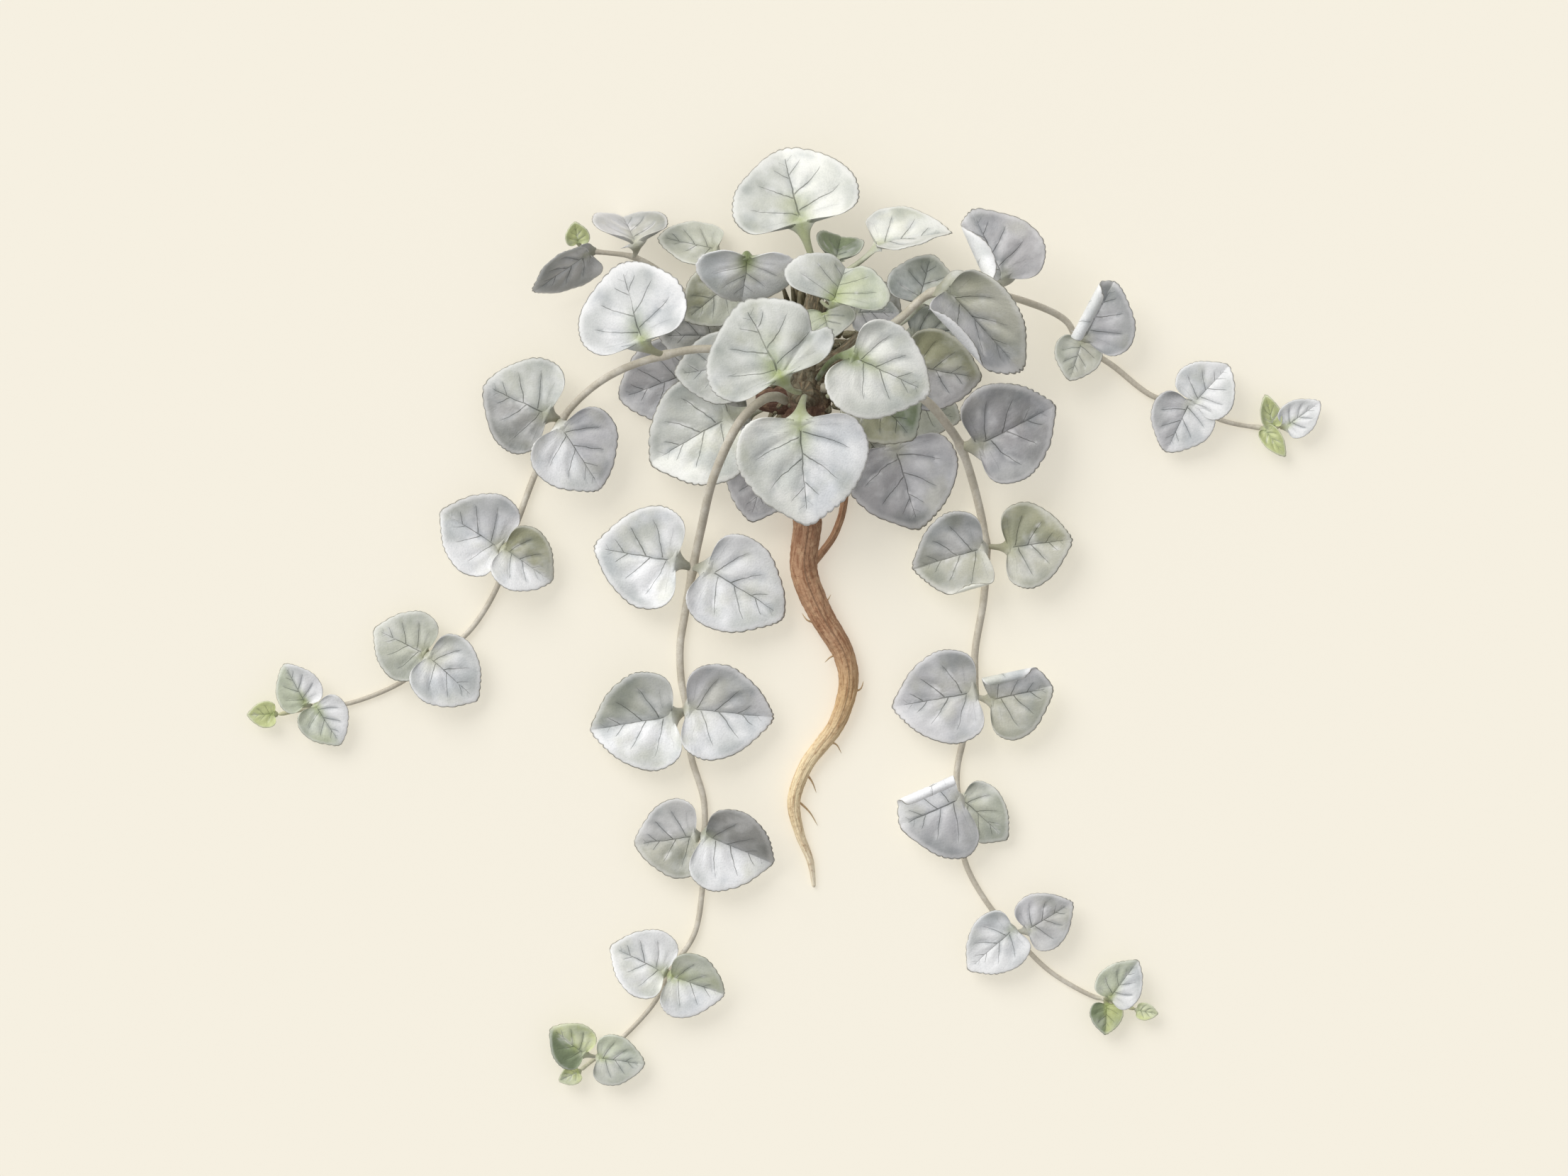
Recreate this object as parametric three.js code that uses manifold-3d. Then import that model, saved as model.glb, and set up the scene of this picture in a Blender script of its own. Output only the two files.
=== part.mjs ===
// A silver ponyfoot plant lifted with its root and laid on a table: a woody crown and taproot, a mound of
// crown leaves on long stalks, and five trailing runners with their leaves in pairs. Millimetres.
// The origin is the flat spot under the crown. +Z is up from the table, +Y runs from the root's tip towards
// the top leaf, and +X is to the right as the plant is seen from above.
import * as THREE from "three";
import Module from "manifold-3d";

const wasm = await Module();
wasm.setup();

const DEG = Math.PI / 180;

// Driving dimensions. A blade's lengths along and across are shares of its own length.
const BLADE_THICKNESS = 0.7;
const BLADE_SPREAD = 112; // degrees round the stalk that half a blade fills, unless its row says more
const LOBE_TAPER = 0.68; // how much shorter a blade's reach is at its back lobes than at its tip
const NOTCH_DEPTH = 0.29; // how far the notch at the stalk cuts in
const NOTCH_POWER = 16; // how sharply the notch begins
const TIP_ROUNDING = 0.05; // how blunt a blade's tip is
const TIP_TAPER = 0.4; // how much narrower a blade gets towards its tip
const HALF_WIDTH = 0.6; // from the midrib to the margin, before the width factor
const SCALLOP = 0.028; // depth of a scallop of the margin
const RIPPLE = 0.022; // rise and fall of the margin
const RIPPLE_RATE = 4; // ripples in a full turn round the stalk
const RIM_STEPS = 16; // stretches round a blade's margin, one for each half scallop
const SMALL_RIM_STEPS = 12;
const SMALL_LEAF = 12; // leaves shorter than this have the plainer margin
const INNER_SHARE = 0.55; // where the inner ring of a blade's net lies

const STALK_RADIUS = 0.65;
const THIN_STALK = 0.6; // the thinnest stalk, as a share of that radius
const FULL_LEAF = 18; // leaves at least this long have the full stalk
const STALK_SWEEP = 0.38; // how far a stalk keeps its blade's line, as a share of its own reach
const STALK_APPROACH = [0, -0.6, -0.8]; // the way from blade to stalk: back along the midrib and down
const LONG_STALK = 12;
const STALK_STEPS = 5;
const SHORT_STALK_STEPS = 3;

const STEM_SIDES = 5;
const STEM_STEPS = 2; // stretches of stem from one of its points to the next
const ROOTLET_RADIUS = 0.32;
const ROOTLET_BASE = 1.3; // a rootlet's radius at the taproot, as a multiple of the rest
const SEAT_GAP = 0.3; // between the crown and what grows out of it
const SECTION_START = [0.31, 0.17, 0.94]; // towards the first corner of a bar's section; no bar runs this way

const LEAF = { color: 0xc3c9c6, roughness: 0.55 };
const YOUNG_LEAF = { color: 0xa9b878, roughness: 0.55 };
const WOOD = { color: 0x7d5b40, roughness: 0.85 };

// Crown leaves: name, foot of the stalk, where the stalk meets the blade, heading of the midrib from +X
// (degrees), pitch of the midrib above the table, roll (the blade's right side up), length, width factor,
// folds of the left and right halves up from flat, bend along the midrib, arch across each half, and, where
// the back lobes reach further round the stalk than most do, the spreads of the left and right halves.
const CROWN_LEAVES = [
  ["top", [3, 27.5, 14], [-0.9, 39.6, 19], 104, -32, 0, 21, 1.22, 8, 8, -8, -20],
  ["top_right", [4, 25, 13.5], [16.4, 34.9, 16], 10, -8, 60, 17.3, 1.05, 22, 22, -10, -20],
  ["inner_green", [2.8, 26.5, 15], [7.2, 31.2, 14], 78, -48, 0, 8, 1.4, 25, 25, -4, 10],
  ["back_left", [-14, 18, 10], [-20, 33.8, 5.8], 168, 0, -40, 13.5, 0.9, 8, 8, -10, -20],
  ["upper_front", [-12.6, 17.2, 9.2], [-12.8, 30.4, 21.5], 262, -37, 14, 12, 1.45, 22, 10, -10, -25, 150, 150],
  ["upper_right", [3.4, 22, 13], [6.4, 21.4, 22.2], 72, -18, 14, 11.4, 1.95, 38, 20, -10, -25],
  ["inner_small", [3.5, 14, 11], [4.4, 18.8, 15.4], -78, 30, 0, 7, 1.6, 12, 12, -10, -20, 135, 135],
  ["front_left", [-1, 1, 13], [-5.4, 4.4, 27], 117, -12, 0, 19.6, 1.36, 5, 5, -8, -15],
  ["front_right", [3, 4, 12], [11, 8.6, 27], -25, -8, 0, 19, 1, 8, 12, -10, -20, 112, 140],
  ["front_low", [0, 0, 14], [-1, -6, 23], -86, -12, 0, 23.8, 1.1, 8, 8, -8, -20],
  ["left_under", [-13, 16, 11], [-17.5, 24.8, 12.2], 218, -6, 0, 12.3, 1, 5, 5, -10, -20],
  ["left_dark", [-8, 10, 8], [-19, 14, 6], 180, 0, 0, 14, 1, 5, 5, -10, -20],
  ["left_mid", [-6, 5, 10], [-15, 7, 15], 188, -5, 0, 14.5, 1, 5, 5, -10, -20],
  ["left_low", [-6, 4, 6], [-27, 5.2, 3.8], 200, 0, 0, 16, 1.08, 5, 5, -10, -20],
  ["left_foot", [-4, -2, 8], [-17.3, -4.6, 11.2], 210, -12, 0, 21.2, 1.04, 14, 8, -10, -20],
  ["left_peek", [-5, -2, 5], [-12, -9, 5.5], 230, -3, 0, 10.5, 0.9, 5, 5, -10, -20],
  ["low_left", [-4, -7, 4], [-8, -13, 9.7], 254, -6, 0, 16, 0.95, 5, 5, -10, -20],
  ["low_right", [4, -5, 7], [20.6, -11.4, 9], -74, -12, 0, 19.8, 1.14, 8, 8, -10, -20],
  ["right_green", [5, 0, 10], [14, 2, 15.2], -48, -6, 0, 16, 1.05, 5, 5, -10, -20],
  ["right_mid", [6, 4, 9], [24, 7, 10], -10, -6, 0, 16.5, 1, 5, 5, -10, -20],
  ["right_light", [6, 0, 6], [23, -1, 5], -18, -3, 0, 13, 0.95, 5, 5, -10, -20],
  ["right_back", [8, 12, 9], [25.8, 21.5, 15], 75, -24, 0, 12.3, 1.18, 8, 8, -10, -20],
  ["right_teal", [9, 10, 10], [24.5, 14.4, 7], 4, 2, 0, 14, 0.78, 5, 5, -10, -20],
  ["right_inner", [5, 15, 10], [11.5, 19, 13.1], 0, 0, 0, 10, 0.85, 5, 5, -10, -20],
  ["under_left_front", [-5, -1, 4], [-13, -4, 2.8], 200, 0, 0, 12, 1, 5, 5, -10, -20],
  ["under_left", [-5, 5, 3], [-11, 12, 2.2], 140, 0, 0, 11, 1, 5, 5, -10, -20],
  ["under_left_back", [-9, 13, 9], [-11, 22, 4], 125, -2, 0, 12, 1.1, 5, 5, -10, -20],
  ["under_right_back", [6, 9, 8], [13, 16, 3.4], 55, 0, 0, 12, 1.1, 5, 5, -10, -20],
  ["under_right", [5, 5, 3], [13, 6.8, 1.9], 8, 0, 0, 12, 0.95, 5, 5, -10, -20],
  ["under_right_front", [5, -4, 3.5], [14.5, -9.5, 2.5], -55, 0, 0, 12.5, 1, 5, 5, -10, -20],
];

// Runners: name, radius at the crown and at the tip, points along the stem, and leaves. A leaf's row starts
// with the stem point that its stalk grows from, and goes on as a crown leaf's does.
const RUNNERS = [
  {
    name: "runner_left",
    radii: [1, 0.45],
    stem: [
      [-3, 4, 11], [-12, 9.5, 17], [-23.4, 10.6, 18], [-31.4, 9.3, 16], [-41.8, 5.9, 11], [-49.1, 1.3, 6.5],
      [-55.1, -5.2, 3], [-60.8, -16.6, 1.2], [-65, -27.7, 0.9], [-67.7, -34.3, 0.9], [-69.3, -41.9, 0.8],
      [-77, -53.9, 0.8], [-85.1, -58.4, 0.8], [-90.2, -63.7, 0.7], [-102.6, -69.1, 0.6], [-110.4, -70.1, 0.6],
      [-119.4, -71.8, 2],
    ],
    leaves: [
      [3, [-36.7, 12.6, 20], 105, -16, 0, 19.2, 1.22, 4, 35, -10, -20],
      [6, [-58.3, -3.8, 7], 155, -6, 0, 16, 1.25, 8, 8, -10, -20],
      [6, [-54.9, -7, 9], -57, -10, 0, 16.6, 1.14, 10, 28, -10, -20],
      [9, [-69.2, -34, 5], 147, 5, 0, 15.5, 1.2, 42, 8, -10, -20],
      [9, [-67.8, -34.3, 6], -35, -8, 0, 13.2, 1.05, 15, 35, -10, -20],
      [12, [-86.2, -58, 4], 153, 0, 0, 12.6, 1.18, 25, 8, -10, -20],
      [12, [-85, -58.8, 5.5], -42, -6, 0, 14.8, 1.02, 8, 28, -10, -20],
      [15, [-113, -69.3, 3.5], 118, 10, 0, 10.3, 0.9, 10, 10, -10, -20],
      [15, [-110.6, -69.9, 4.5], -57, -5, 0, 10.4, 1, 10, 10, -10, -20],
      [16, [-120.3, -71.7, 2.6], 182, 10, 0, 6, 0.9, 15, 15, -10, -20],
    ],
  },
  {
    name: "runner_front",
    radii: [1.15, 0.45],
    stem: [
      [-4, -1, 9], [-6.5, 0, 14], [-9.5, -0.9, 18], [-14.2, -5.3, 19.5], [-20.3, -17.6, 14],
      [-23.4, -29.8, 6], [-25.3, -38.7, 2], [-27.1, -49, 1.1], [-28.2, -56.3, 1], [-27.9, -64.3, 1],
      [-26.6, -70.7, 1], [-25.8, -80.8, 0.9], [-22.9, -90.9, 0.9], [-22.6, -99.2, 0.9], [-23.2, -111.7, 0.8],
      [-25, -121.6, 0.8], [-30.7, -130.4, 0.8], [-34.1, -137.2, 0.7], [-42.4, -146.1, 0.6],
      [-47, -149.4, 0.9], [-50.8, -152.4, 2.2],
    ],
    leaves: [
      [6, [-29.5, -37.1, 6], 170, -4, 0, 18.4, 1.13, 8, 8, -10, -20],
      [6, [-21.8, -38.9, 8], -32, -8, 0, 20.6, 0.96, 8, 8, -10, -20],
      [10, [-30.2, -72.1, 5], 190, -2, 0, 18.5, 1.1, 10, 28, -10, -20],
      [10, [-26, -70.4, 6.5], -6, -6, 0, 19.2, 1.02, 25, 10, -10, -20],
      [13, [-24.9, -99.3, 5], 188, 2, 0, 13.7, 1.17, 8, 8, -10, -20],
      [13, [-22.2, -99, 6.5], -23, -6, 0, 16.6, 1.2, 55, 8, -10, -20],
      [16, [-31.9, -130.2, 5], 153, 2, 0, 13.4, 1.1, 36, 8, -10, -20],
      [16, [-30.1, -130.9, 5.5], -19, -4, 0, 12.7, 1.2, 50, 8, -10, -20],
      [19, [-49.9, -148.6, 4], 142, 8, 0, 9.6, 1, 12, 12, -10, -20],
      [19, [-46.6, -149.5, 4], -8, 0, 0, 10.6, 0.98, 20, 8, -10, -20],
      [20, [-51.3, -152.8, 2.8], 205, 5, 0, 4.8, 0.85, 15, 15, -10, -20],
    ],
  },
  {
    name: "runner_right",
    radii: [1.15, 0.45],
    stem: [
      [4, 2, 10], [14, 3, 18.5], [22, 2, 20], [27.5, -1.2, 18], [32.3, -6.6, 13], [35.2, -11, 9],
      [39, -22.4, 3], [41.1, -33.6, 1.1], [40.7, -45.1, 1], [38.7, -57.4, 1], [38.5, -67.5, 0.9],
      [36, -77.6, 0.9], [34.6, -84.3, 0.9], [34.7, -90.3, 0.9], [36.3, -104.8, 0.8], [41, -113.9, 0.8],
      [46.9, -121.1, 0.7], [55.6, -130, 0.6], [65.7, -135.8, 0.6], [68, -136.3, 1], [75, -138.6, 2.2],
    ],
    leaves: [
      [5, [39.3, -10.8, 12], 27, -8, 0, 19.8, 1.03, 22, 6, -10, -20],
      [7, [40.2, -34.2, 6.5], 196, -6, 0, 16.5, 1.08, 28, 22, -10, -20],
      [7, [46.2, -33.9, 5.5], 7, 5, 0, 14.4, 1.2, 6, 12, -10, -20],
      [10, [38.3, -66.8, 6], 190, -5, 0, 18.8, 1, 10, 8, -10, -20],
      [10, [42.3, -68.4, 5.5], 12, 4, 0, 14.2, 1.25, 48, 8, -10, -20],
      [13, [35, -90.9, 7], 204, -5, 0, 15, 1.5, 6, 86, -10, -20],
      [13, [35.8, -91, 3.5], -42, 0, 0, 13.6, 0.88, 8, 8, -10, -20],
      [16, [47.2, -120.4, 5], 222, -4, 0, 13.8, 0.9, 8, 8, -10, -20],
      [16, [50.6, -120.5, 4.5], 32, 4, 0, 11.8, 1, 8, 8, -10, -20],
      [19, [69.2, -135.9, 4], 53, 5, 0, 10.6, 0.88, 15, 10, -10, -20],
      [19, [68.5, -137.6, 3], -93, 5, 0, 6.7, 1, 12, 12, -10, -20],
      [20, [75.6, -138.8, 2.8], -10, 5, 0, 4.6, 0.78, 15, 15, -10, -20],
    ],
  },
  {
    name: "runner_upper_right",
    radii: [1, 0.45],
    stem: [
      [8, 8, 11], [20.8, 16.9, 20], [28.7, 23.2, 21], [40.6, 23.2, 17], [49.9, 21.5, 11], [59.2, 17.3, 5],
      [62.2, 12.6, 3], [69.9, 7.3, 1], [79.2, 0.3, 0.8], [87.8, -1.4, 0.8], [94.4, -5, 0.7],
      [103, -6.7, 0.8], [107.8, -6.6, 2],
    ],
    leaves: [
      [3, [44.4, 26.9, 19], 114, -8, 0, 16.8, 1.12, 70, 4, -10, -15, 112, 132],
      [2, [32.3, 23.3, 24], -47, -14, 0, 25.5, 0.74, 35, 45, -10, -20],
      [6, [63.3, 13.4, 7], 62, 5, 0, 14.5, 1.22, 64, 6, -10, -15],
      [6, [62.7, 12.4, 6], -108, 10, 0, 9.2, 1.05, 12, 12, -10, -20],
      [9, [88.4, -1, 4.5], 47, 5, 0, 11.3, 1.15, 6, 25, -10, -20],
      [9, [87.2, -1.3, 5], 244, -5, 0, 12.4, 1.05, 10, 10, -10, -20],
      [11, [106.2, -6.2, 2.8], 105, 10, 0, 7.2, 0.6, 15, 15, -10, -20],
      [11, [104.4, -7.3, 2.5], -53, 5, 0, 7.6, 0.55, 15, 15, -10, -20],
      [12, [109.3, -6.4, 3.2], 36, 5, 0, 9.3, 0.8, 12, 12, -10, -20],
    ],
  },
  {
    name: "runner_upper_left",
    radii: [0.9, 0.45],
    stem: [
      [-8, 12, 10], [-18, 17, 8.8], [-27, 23.5, 8.2], [-33.8, 29.2, 7.5], [-38.7, 31.7, 8],
      [-47.3, 32.9, 9], [-50.4, 33.6, 9.5],
    ],
    leaves: [
      [4, [-38.4, 35.3, 13.5], 116, -60, 0, 15, 1.05, 52, 2, -10, -20],
      [5, [-48.8, 31.9, 11], 214, -8, 50, 15, 0.82, 10, 14, -10, -20],
      [6, [-51, 34.8, 11], 100, 20, 0, 5, 1, 20, 20, -10, -20],
    ],
  },
];

// Woody parts, each a line of points with a radius at each, and how finely it is made.
const CROWN = {
  points: [[0, -14, 5], [0, -7, 5.6], [0, 0, 6], [0.5, 7, 7.5], [1, 14, 10], [2, 21, 12.5], [3, 27.5, 15]],
  radii: [4.2, 5, 6.4, 5, 3, 2.1, 1.3],
  steps: 12,
  sides: 9,
};
const CROWN_BRANCHES = [
  { points: [[0, 5, 8], [-8, 11, 10.5], [-14, 18, 11]], radii: [3, 2, 1.2], steps: 5, sides: 7 },
  { points: [[0, 5, 8], [8, 9, 11], [14.5, 15.5, 12]], radii: [3, 2, 1.2], steps: 5, sides: 7 },
  { points: [[0, 0, 6], [0, 0.5, 10.5], [-0.5, 1, 14]], radii: [4.5, 3.6, 2.4], steps: 5, sides: 7 },
  { points: [[0, 0, 6], [-6, -0.5, 7.5], [-11, -1, 8]], radii: [4.2, 3.4, 2], steps: 5, sides: 7 },
];
const TAPROOT = {
  points: [
    [0, -11, 5], [0.3, -20, 3.7], [0.6, -29.6, 3.1], [-0.2, -38.8, 3], [3.4, -48.6, 2.7], [9, -58.4, 2.3],
    [9.9, -65.8, 2.1], [7.1, -74.2, 1.8], [0.3, -83.5, 1.5], [-2.4, -91.5, 1.4], [-1.1, -98.8, 1],
    [1.3, -105, 0.8], [2.2, -111, 0.5],
  ],
  radii: [4.4, 3.7, 3.2, 3.1, 2.8, 2.4, 2.2, 1.9, 1.6, 1.5, 1.1, 0.8, 0.4],
  steps: 26,
  sides: 9,
};
const SIDE_ROOT = {
  points: [[3, -8, 5], [8.5, -17, 3], [9, -23.5, 2.2], [6.8, -30.9, 1.8], [1.6, -38, 2.6]],
  radii: [1.2, 0.95, 0.85, 0.85, 0.9],
  steps: 10,
  sides: 5,
};
// Rootlets: where one leaves the taproot, where it turns and where it ends.
const ROOTLETS = [
  [[3, -45.6, 2.6], [5, -46, 2.6], [6, -44.6, 2.4]],
  [[2.5, -51, 2.5], [0.6, -50.4, 2.4], [-0.6, -48.8, 2]],
  [[8, -58, 2.2], [5.9, -58.8, 1.8], [4.6, -60, 1.2]],
  [[11, -66.6, 2], [12.7, -66, 1.8], [13.4, -64.2, 1.3]],
  [[5.5, -78, 1.5], [7.2, -78.6, 1.2], [8.4, -80.6, 0.8]],
  [[0.6, -85.4, 1.3], [1.8, -87.2, 1], [2.7, -89.6, 0.6]],
  [[-1.4, -91.4, 1.2], [1.2, -94, 0.9], [3, -97, 0.5]],
];

// A closed net of points and triangles as a solid.
function solidOf(points, triangles) {
  const vertProperties = Float32Array.from(points.flatMap((point) => point.toArray()));
  const triVerts = Uint32Array.from(triangles.flat());
  return new wasm.Manifold(new wasm.Mesh({ numProp: 3, vertProperties, triVerts }));
}

// Rings round a line of points with a radius at each. The section is turned from point to point no more
// than the line itself turns, so that what is made of the rings isn't twisted.
function ringsAlong(points, radii, sides, firstNormal) {
  let normal = firstNormal;
  return points.map((point, i) => {
    const before = points[Math.max(i - 1, 0)];
    const after = points[Math.min(i + 1, points.length - 1)];
    const tangent = after.clone().sub(before).normalize();
    normal = normal.clone().addScaledVector(tangent, -normal.dot(tangent)).normalize();
    const binormal = normal.clone().cross(tangent);
    return Array.from({ length: sides }, (_, j) => {
      const turn = (2 * Math.PI * j) / sides;
      const spoke = normal.clone().multiplyScalar(Math.cos(turn)).addScaledVector(binormal, Math.sin(turn));
      return point.clone().addScaledVector(spoke, radii[i]);
    });
  });
}

// Triangles of the wall between two rings, given by the numbers of their points.
function wallBetween(ring, next) {
  return ring.flatMap((a, j) => {
    const k = (j + 1) % ring.length;
    return [[a, next[j], next[k]], [a, next[k], ring[k]]];
  });
}

// Triangles that close a ring, facing on along the line, or back along it.
const endCap = (ring) => ring.slice(1, -1).map((point, j) => [ring[0], ring[j + 2], point]);
const startCap = (ring) => endCap(ring).map(([a, b, c]) => [a, c, b]);

// The numbers of a ring's points, counted on from its first.
const numbered = (start, count) => Array.from({ length: count }, (_, j) => start + j);

// A bar of straight stretches, closed at both ends.
function bar(points, radii, sides) {
  const rings = ringsAlong(points, radii, sides, new THREE.Vector3(...SECTION_START));
  const numbers = rings.map((_, i) => numbered(i * sides, sides));
  const walls = numbers.slice(1).flatMap((ring, i) => wallBetween(numbers[i], ring));
  return solidOf(rings.flat(), [startCap(numbers[0]), walls, endCap(numbers[points.length - 1])].flat());
}

// A smooth bar along the given points, with the radii spread evenly along it, grown all round by extra.
function smoothBar({ points, radii, steps, sides }, extra = 0) {
  const curve = new THREE.CatmullRomCurve3(points.map((point) => new THREE.Vector3(...point)));
  const line = curve.getPoints(steps);
  line[0].addScaledVector(curve.getTangent(0), -extra);
  line[steps].addScaledVector(curve.getTangent(1), extra);
  const widths = line.map((_, i) => {
    const place = (i / steps) * (radii.length - 1);
    const low = Math.min(Math.floor(place), radii.length - 2);
    return THREE.MathUtils.lerp(radii[low], radii[low + 1], place - low) + extra;
  });
  return bar(line, widths, sides);
}

// How far a blade's margin lies from the stalk's end, for a blade one unit long: furthest at the tip, with
// a round lobe on each side and a notch at the stalk.
function outline(angle, spread) {
  const share = Math.abs(angle) / spread;
  const softened = Math.hypot(share, TIP_ROUNDING) - TIP_ROUNDING;
  return 1 - LOBE_TAPER * softened - NOTCH_DEPTH * share ** NOTCH_POWER;
}

// A point of a blade and the way that its upper face looks there. The angle is counted from the midrib,
// with the right half positive, and share runs from 0 at the stalk's end to 1 at the margin. The blade
// tapers to a point, each half rises from the midrib at its fold angle and arches over towards the margin,
// the midrib bends as an arc, and the margin ripples.
function bladePoint(leaf, angle, share, rimFactor) {
  const side = Math.sign(angle);
  const spread = (side < 0 ? leaf.leftSpread : leaf.rightSpread) * DEG;
  const reach = leaf.length * outline(angle, spread) * share * rimFactor;
  const along = reach * Math.cos(angle);
  const taper = 1 - TIP_TAPER * Math.max(along / leaf.length, 0) ** 3;
  const across = Math.abs(reach * Math.sin(angle)) * leaf.wide * taper;
  const fold = (side < 0 ? leaf.left : leaf.right) * DEG;
  const arch = (leaf.arch * DEG) / (HALF_WIDTH * leaf.length);
  const slope = fold + arch * across;
  const out = (Math.sin(slope) - Math.sin(fold)) / arch;
  const wave = RIPPLE * leaf.length * share ** 2 * Math.cos(RIPPLE_RATE * angle + leaf.heading);
  const lift = (Math.cos(fold) - Math.cos(slope)) / arch + wave;
  const radius = leaf.length / (leaf.bend * DEG);
  const sine = Math.sin(along / radius);
  const cosine = Math.cos(along / radius);
  const point = new THREE.Vector3(side * out, (radius - lift) * sine, radius * (1 - cosine) + lift * cosine);
  const tilt = new THREE.Vector3(-side * Math.sin(slope), -Math.cos(slope) * sine, Math.cos(slope) * cosine);
  return [point, tilt];
}

// The stalk's line from the blade's end back to the foot. It leaves the blade backwards and down.
function stalkLine(leaf) {
  const foot = new THREE.Vector3(...leaf.foot);
  const base = new THREE.Vector3(...leaf.base);
  const reach = foot.distanceTo(base);
  const approach = new THREE.Vector3(...STALK_APPROACH).transformDirection(leaf.frame);
  const control = base.clone().addScaledVector(approach, STALK_SWEEP * reach);
  const steps = reach > LONG_STALK ? STALK_STEPS : SHORT_STALK_STEPS;
  return new THREE.QuadraticBezierCurve3(base, control, foot).getPoints(steps).slice(1);
}

// A leaf is one net: a blade, which is a fan of triangles round the stalk's end, alike on both faces, with
// a rim between them, and the stalk, whose wall starts from the blade's edge in the notch.
function leafSolid(leaf) {
  const steps = leaf.length < SMALL_LEAF ? SMALL_RIM_STEPS : RIM_STEPS;
  const net = [bladePoint(leaf, 0, 0, 1)];
  const inner = [];
  const outer = [];
  for (let i = 0; i <= steps; i++) {
    const turn = (2 * i) / steps - 1;
    const angle = turn * (turn < 0 ? leaf.leftSpread : leaf.rightSpread) * DEG;
    const scallop = i % 2 === 0 ? SCALLOP : -SCALLOP;
    if (i % 2 === 0) {
      inner.push(net.length);
      net.push(bladePoint(leaf, angle, INNER_SHARE, 1));
    }
    outer.push(net.length);
    net.push(bladePoint(leaf, angle, 1, 1 + scallop));
  }
  const upperFace = inner.slice(1).flatMap((b, i) => {
    const a = inner[i];
    const [p, q, r] = outer.slice(2 * i, 2 * i + 3);
    return [[0, b, a], [a, q, p], [a, b, q], [b, r, q]];
  });
  const count = net.length;
  const lowerFace = upperFace.map(([a, b, c]) => [c + count, b + count, a + count]);
  const margin = [inner[0], ...outer, inner.at(-1)];
  const rim = margin.slice(1).flatMap((b, i) => {
    const a = margin[i];
    return [[a, b, b + count], [a, b + count, a + count]];
  });
  const half = BLADE_THICKNESS / 2;
  const upper = net.map(([point, tilt]) => point.clone().addScaledVector(tilt, half));
  const lower = net.map(([point, tilt]) => point.clone().addScaledVector(tilt, -half));
  const blade = upper.concat(lower).map((point) => point.applyMatrix4(leaf.frame));

  const notch = [0, inner.at(-1), inner.at(-1) + count, count, inner[0] + count, inner[0]];
  const line = stalkLine(leaf);
  const upwards = new THREE.Vector3(0, 0, 1).transformDirection(leaf.frame);
  const rings = ringsAlong(line, line.map(() => leaf.stalk), notch.length, upwards);
  const numbers = [notch, ...rings.map((_, i) => numbered(2 * count + i * notch.length, notch.length))];
  const stalk = numbers.slice(1).flatMap((next, i) => wallBetween(numbers[i], next));
  const triangles = [upperFace, lowerFace, rim, stalk, endCap(numbers.at(-1))].flat();
  return solidOf(blade.concat(rings.flat()), triangles);
}

// A leaf with its frame: +X across to its right, +Y along its midrib and +Z out of its upper face.
function leafOf([foot, base, heading, pitch, roll, length, wide, left, right, bend, arch, ...spreads]) {
  const [leftSpread = BLADE_SPREAD, rightSpread = BLADE_SPREAD] = spreads;
  const [h, p, r] = [heading * DEG, pitch * DEG, roll * DEG];
  const midrib = new THREE.Vector3(Math.cos(p) * Math.cos(h), Math.cos(p) * Math.sin(h), Math.sin(p));
  const across = new THREE.Vector3(Math.sin(h), -Math.cos(h), 0).applyAxisAngle(midrib, -r);
  const up = across.clone().cross(midrib);
  const frame = new THREE.Matrix4().makeBasis(across, midrib, up).setPosition(...base);
  const stalk = STALK_RADIUS * THREE.MathUtils.clamp(length / FULL_LEAF, THIN_STALK, 1);
  const form = { heading, length, wide, left, right, bend, arch, leftSpread, rightSpread };
  return { ...form, foot, base, frame, stalk };
}

// The crown with its short branches, grown by extra so that a gap is left round it.
function crownSolid(extra) {
  const stock = smoothBar(CROWN, extra);
  return CROWN_BRANCHES.reduce((solid, branch) => solid.add(smoothBar(branch, extra)), stock);
}

// A rootlet, a little thicker where it leaves the taproot.
function rootletOf(points) {
  const radii = [ROOTLET_RADIUS * ROOTLET_BASE, ROOTLET_RADIUS, ROOTLET_RADIUS];
  return { points, radii, steps: 3, sides: 4 };
}

function rootSolid() {
  const roots = [TAPROOT, SIDE_ROOT, ...ROOTLETS.map(rootletOf)];
  return roots.reduce((solid, root) => solid.add(smoothBar(root)), crownSolid(0));
}

function runnerSolid({ radii, stem, leaves }) {
  const steps = STEM_STEPS * (stem.length - 1);
  const bare = smoothBar({ points: stem, radii, steps, sides: STEM_SIDES });
  const leafSolids = leaves.map(([node, ...row]) => leafSolid(leafOf([stem[node], ...row])));
  return leafSolids.reduce((solid, leaf) => solid.add(leaf), bare);
}

// A solid cut off at the table, as a named mesh of the plant.
function meshOf(name, solid, look) {
  const { numProp, vertProperties, triVerts } = solid.trimByPlane([0, 0, 1], 0).getMesh();
  const points = vertProperties.filter((_, i) => i % numProp < 3);
  const geometry = new THREE.BufferGeometry();
  geometry.setAttribute("position", new THREE.BufferAttribute(points, 3));
  geometry.setIndex(new THREE.BufferAttribute(triVerts, 1));
  geometry.computeVertexNormals();
  const mesh = new THREE.Mesh(geometry, new THREE.MeshStandardMaterial({ ...look, metalness: 0 }));
  mesh.name = name;
  return mesh;
}

// What is left of a solid outside the crown, without the scraps on the crown's other side.
const clearance = crownSolid(SEAT_GAP);
function offTheCrown(solid) {
  const bodies = solid.subtract(clearance).decompose();
  return bodies.reduce((biggest, body) => (body.volume() > biggest.volume() ? body : biggest));
}

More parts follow.
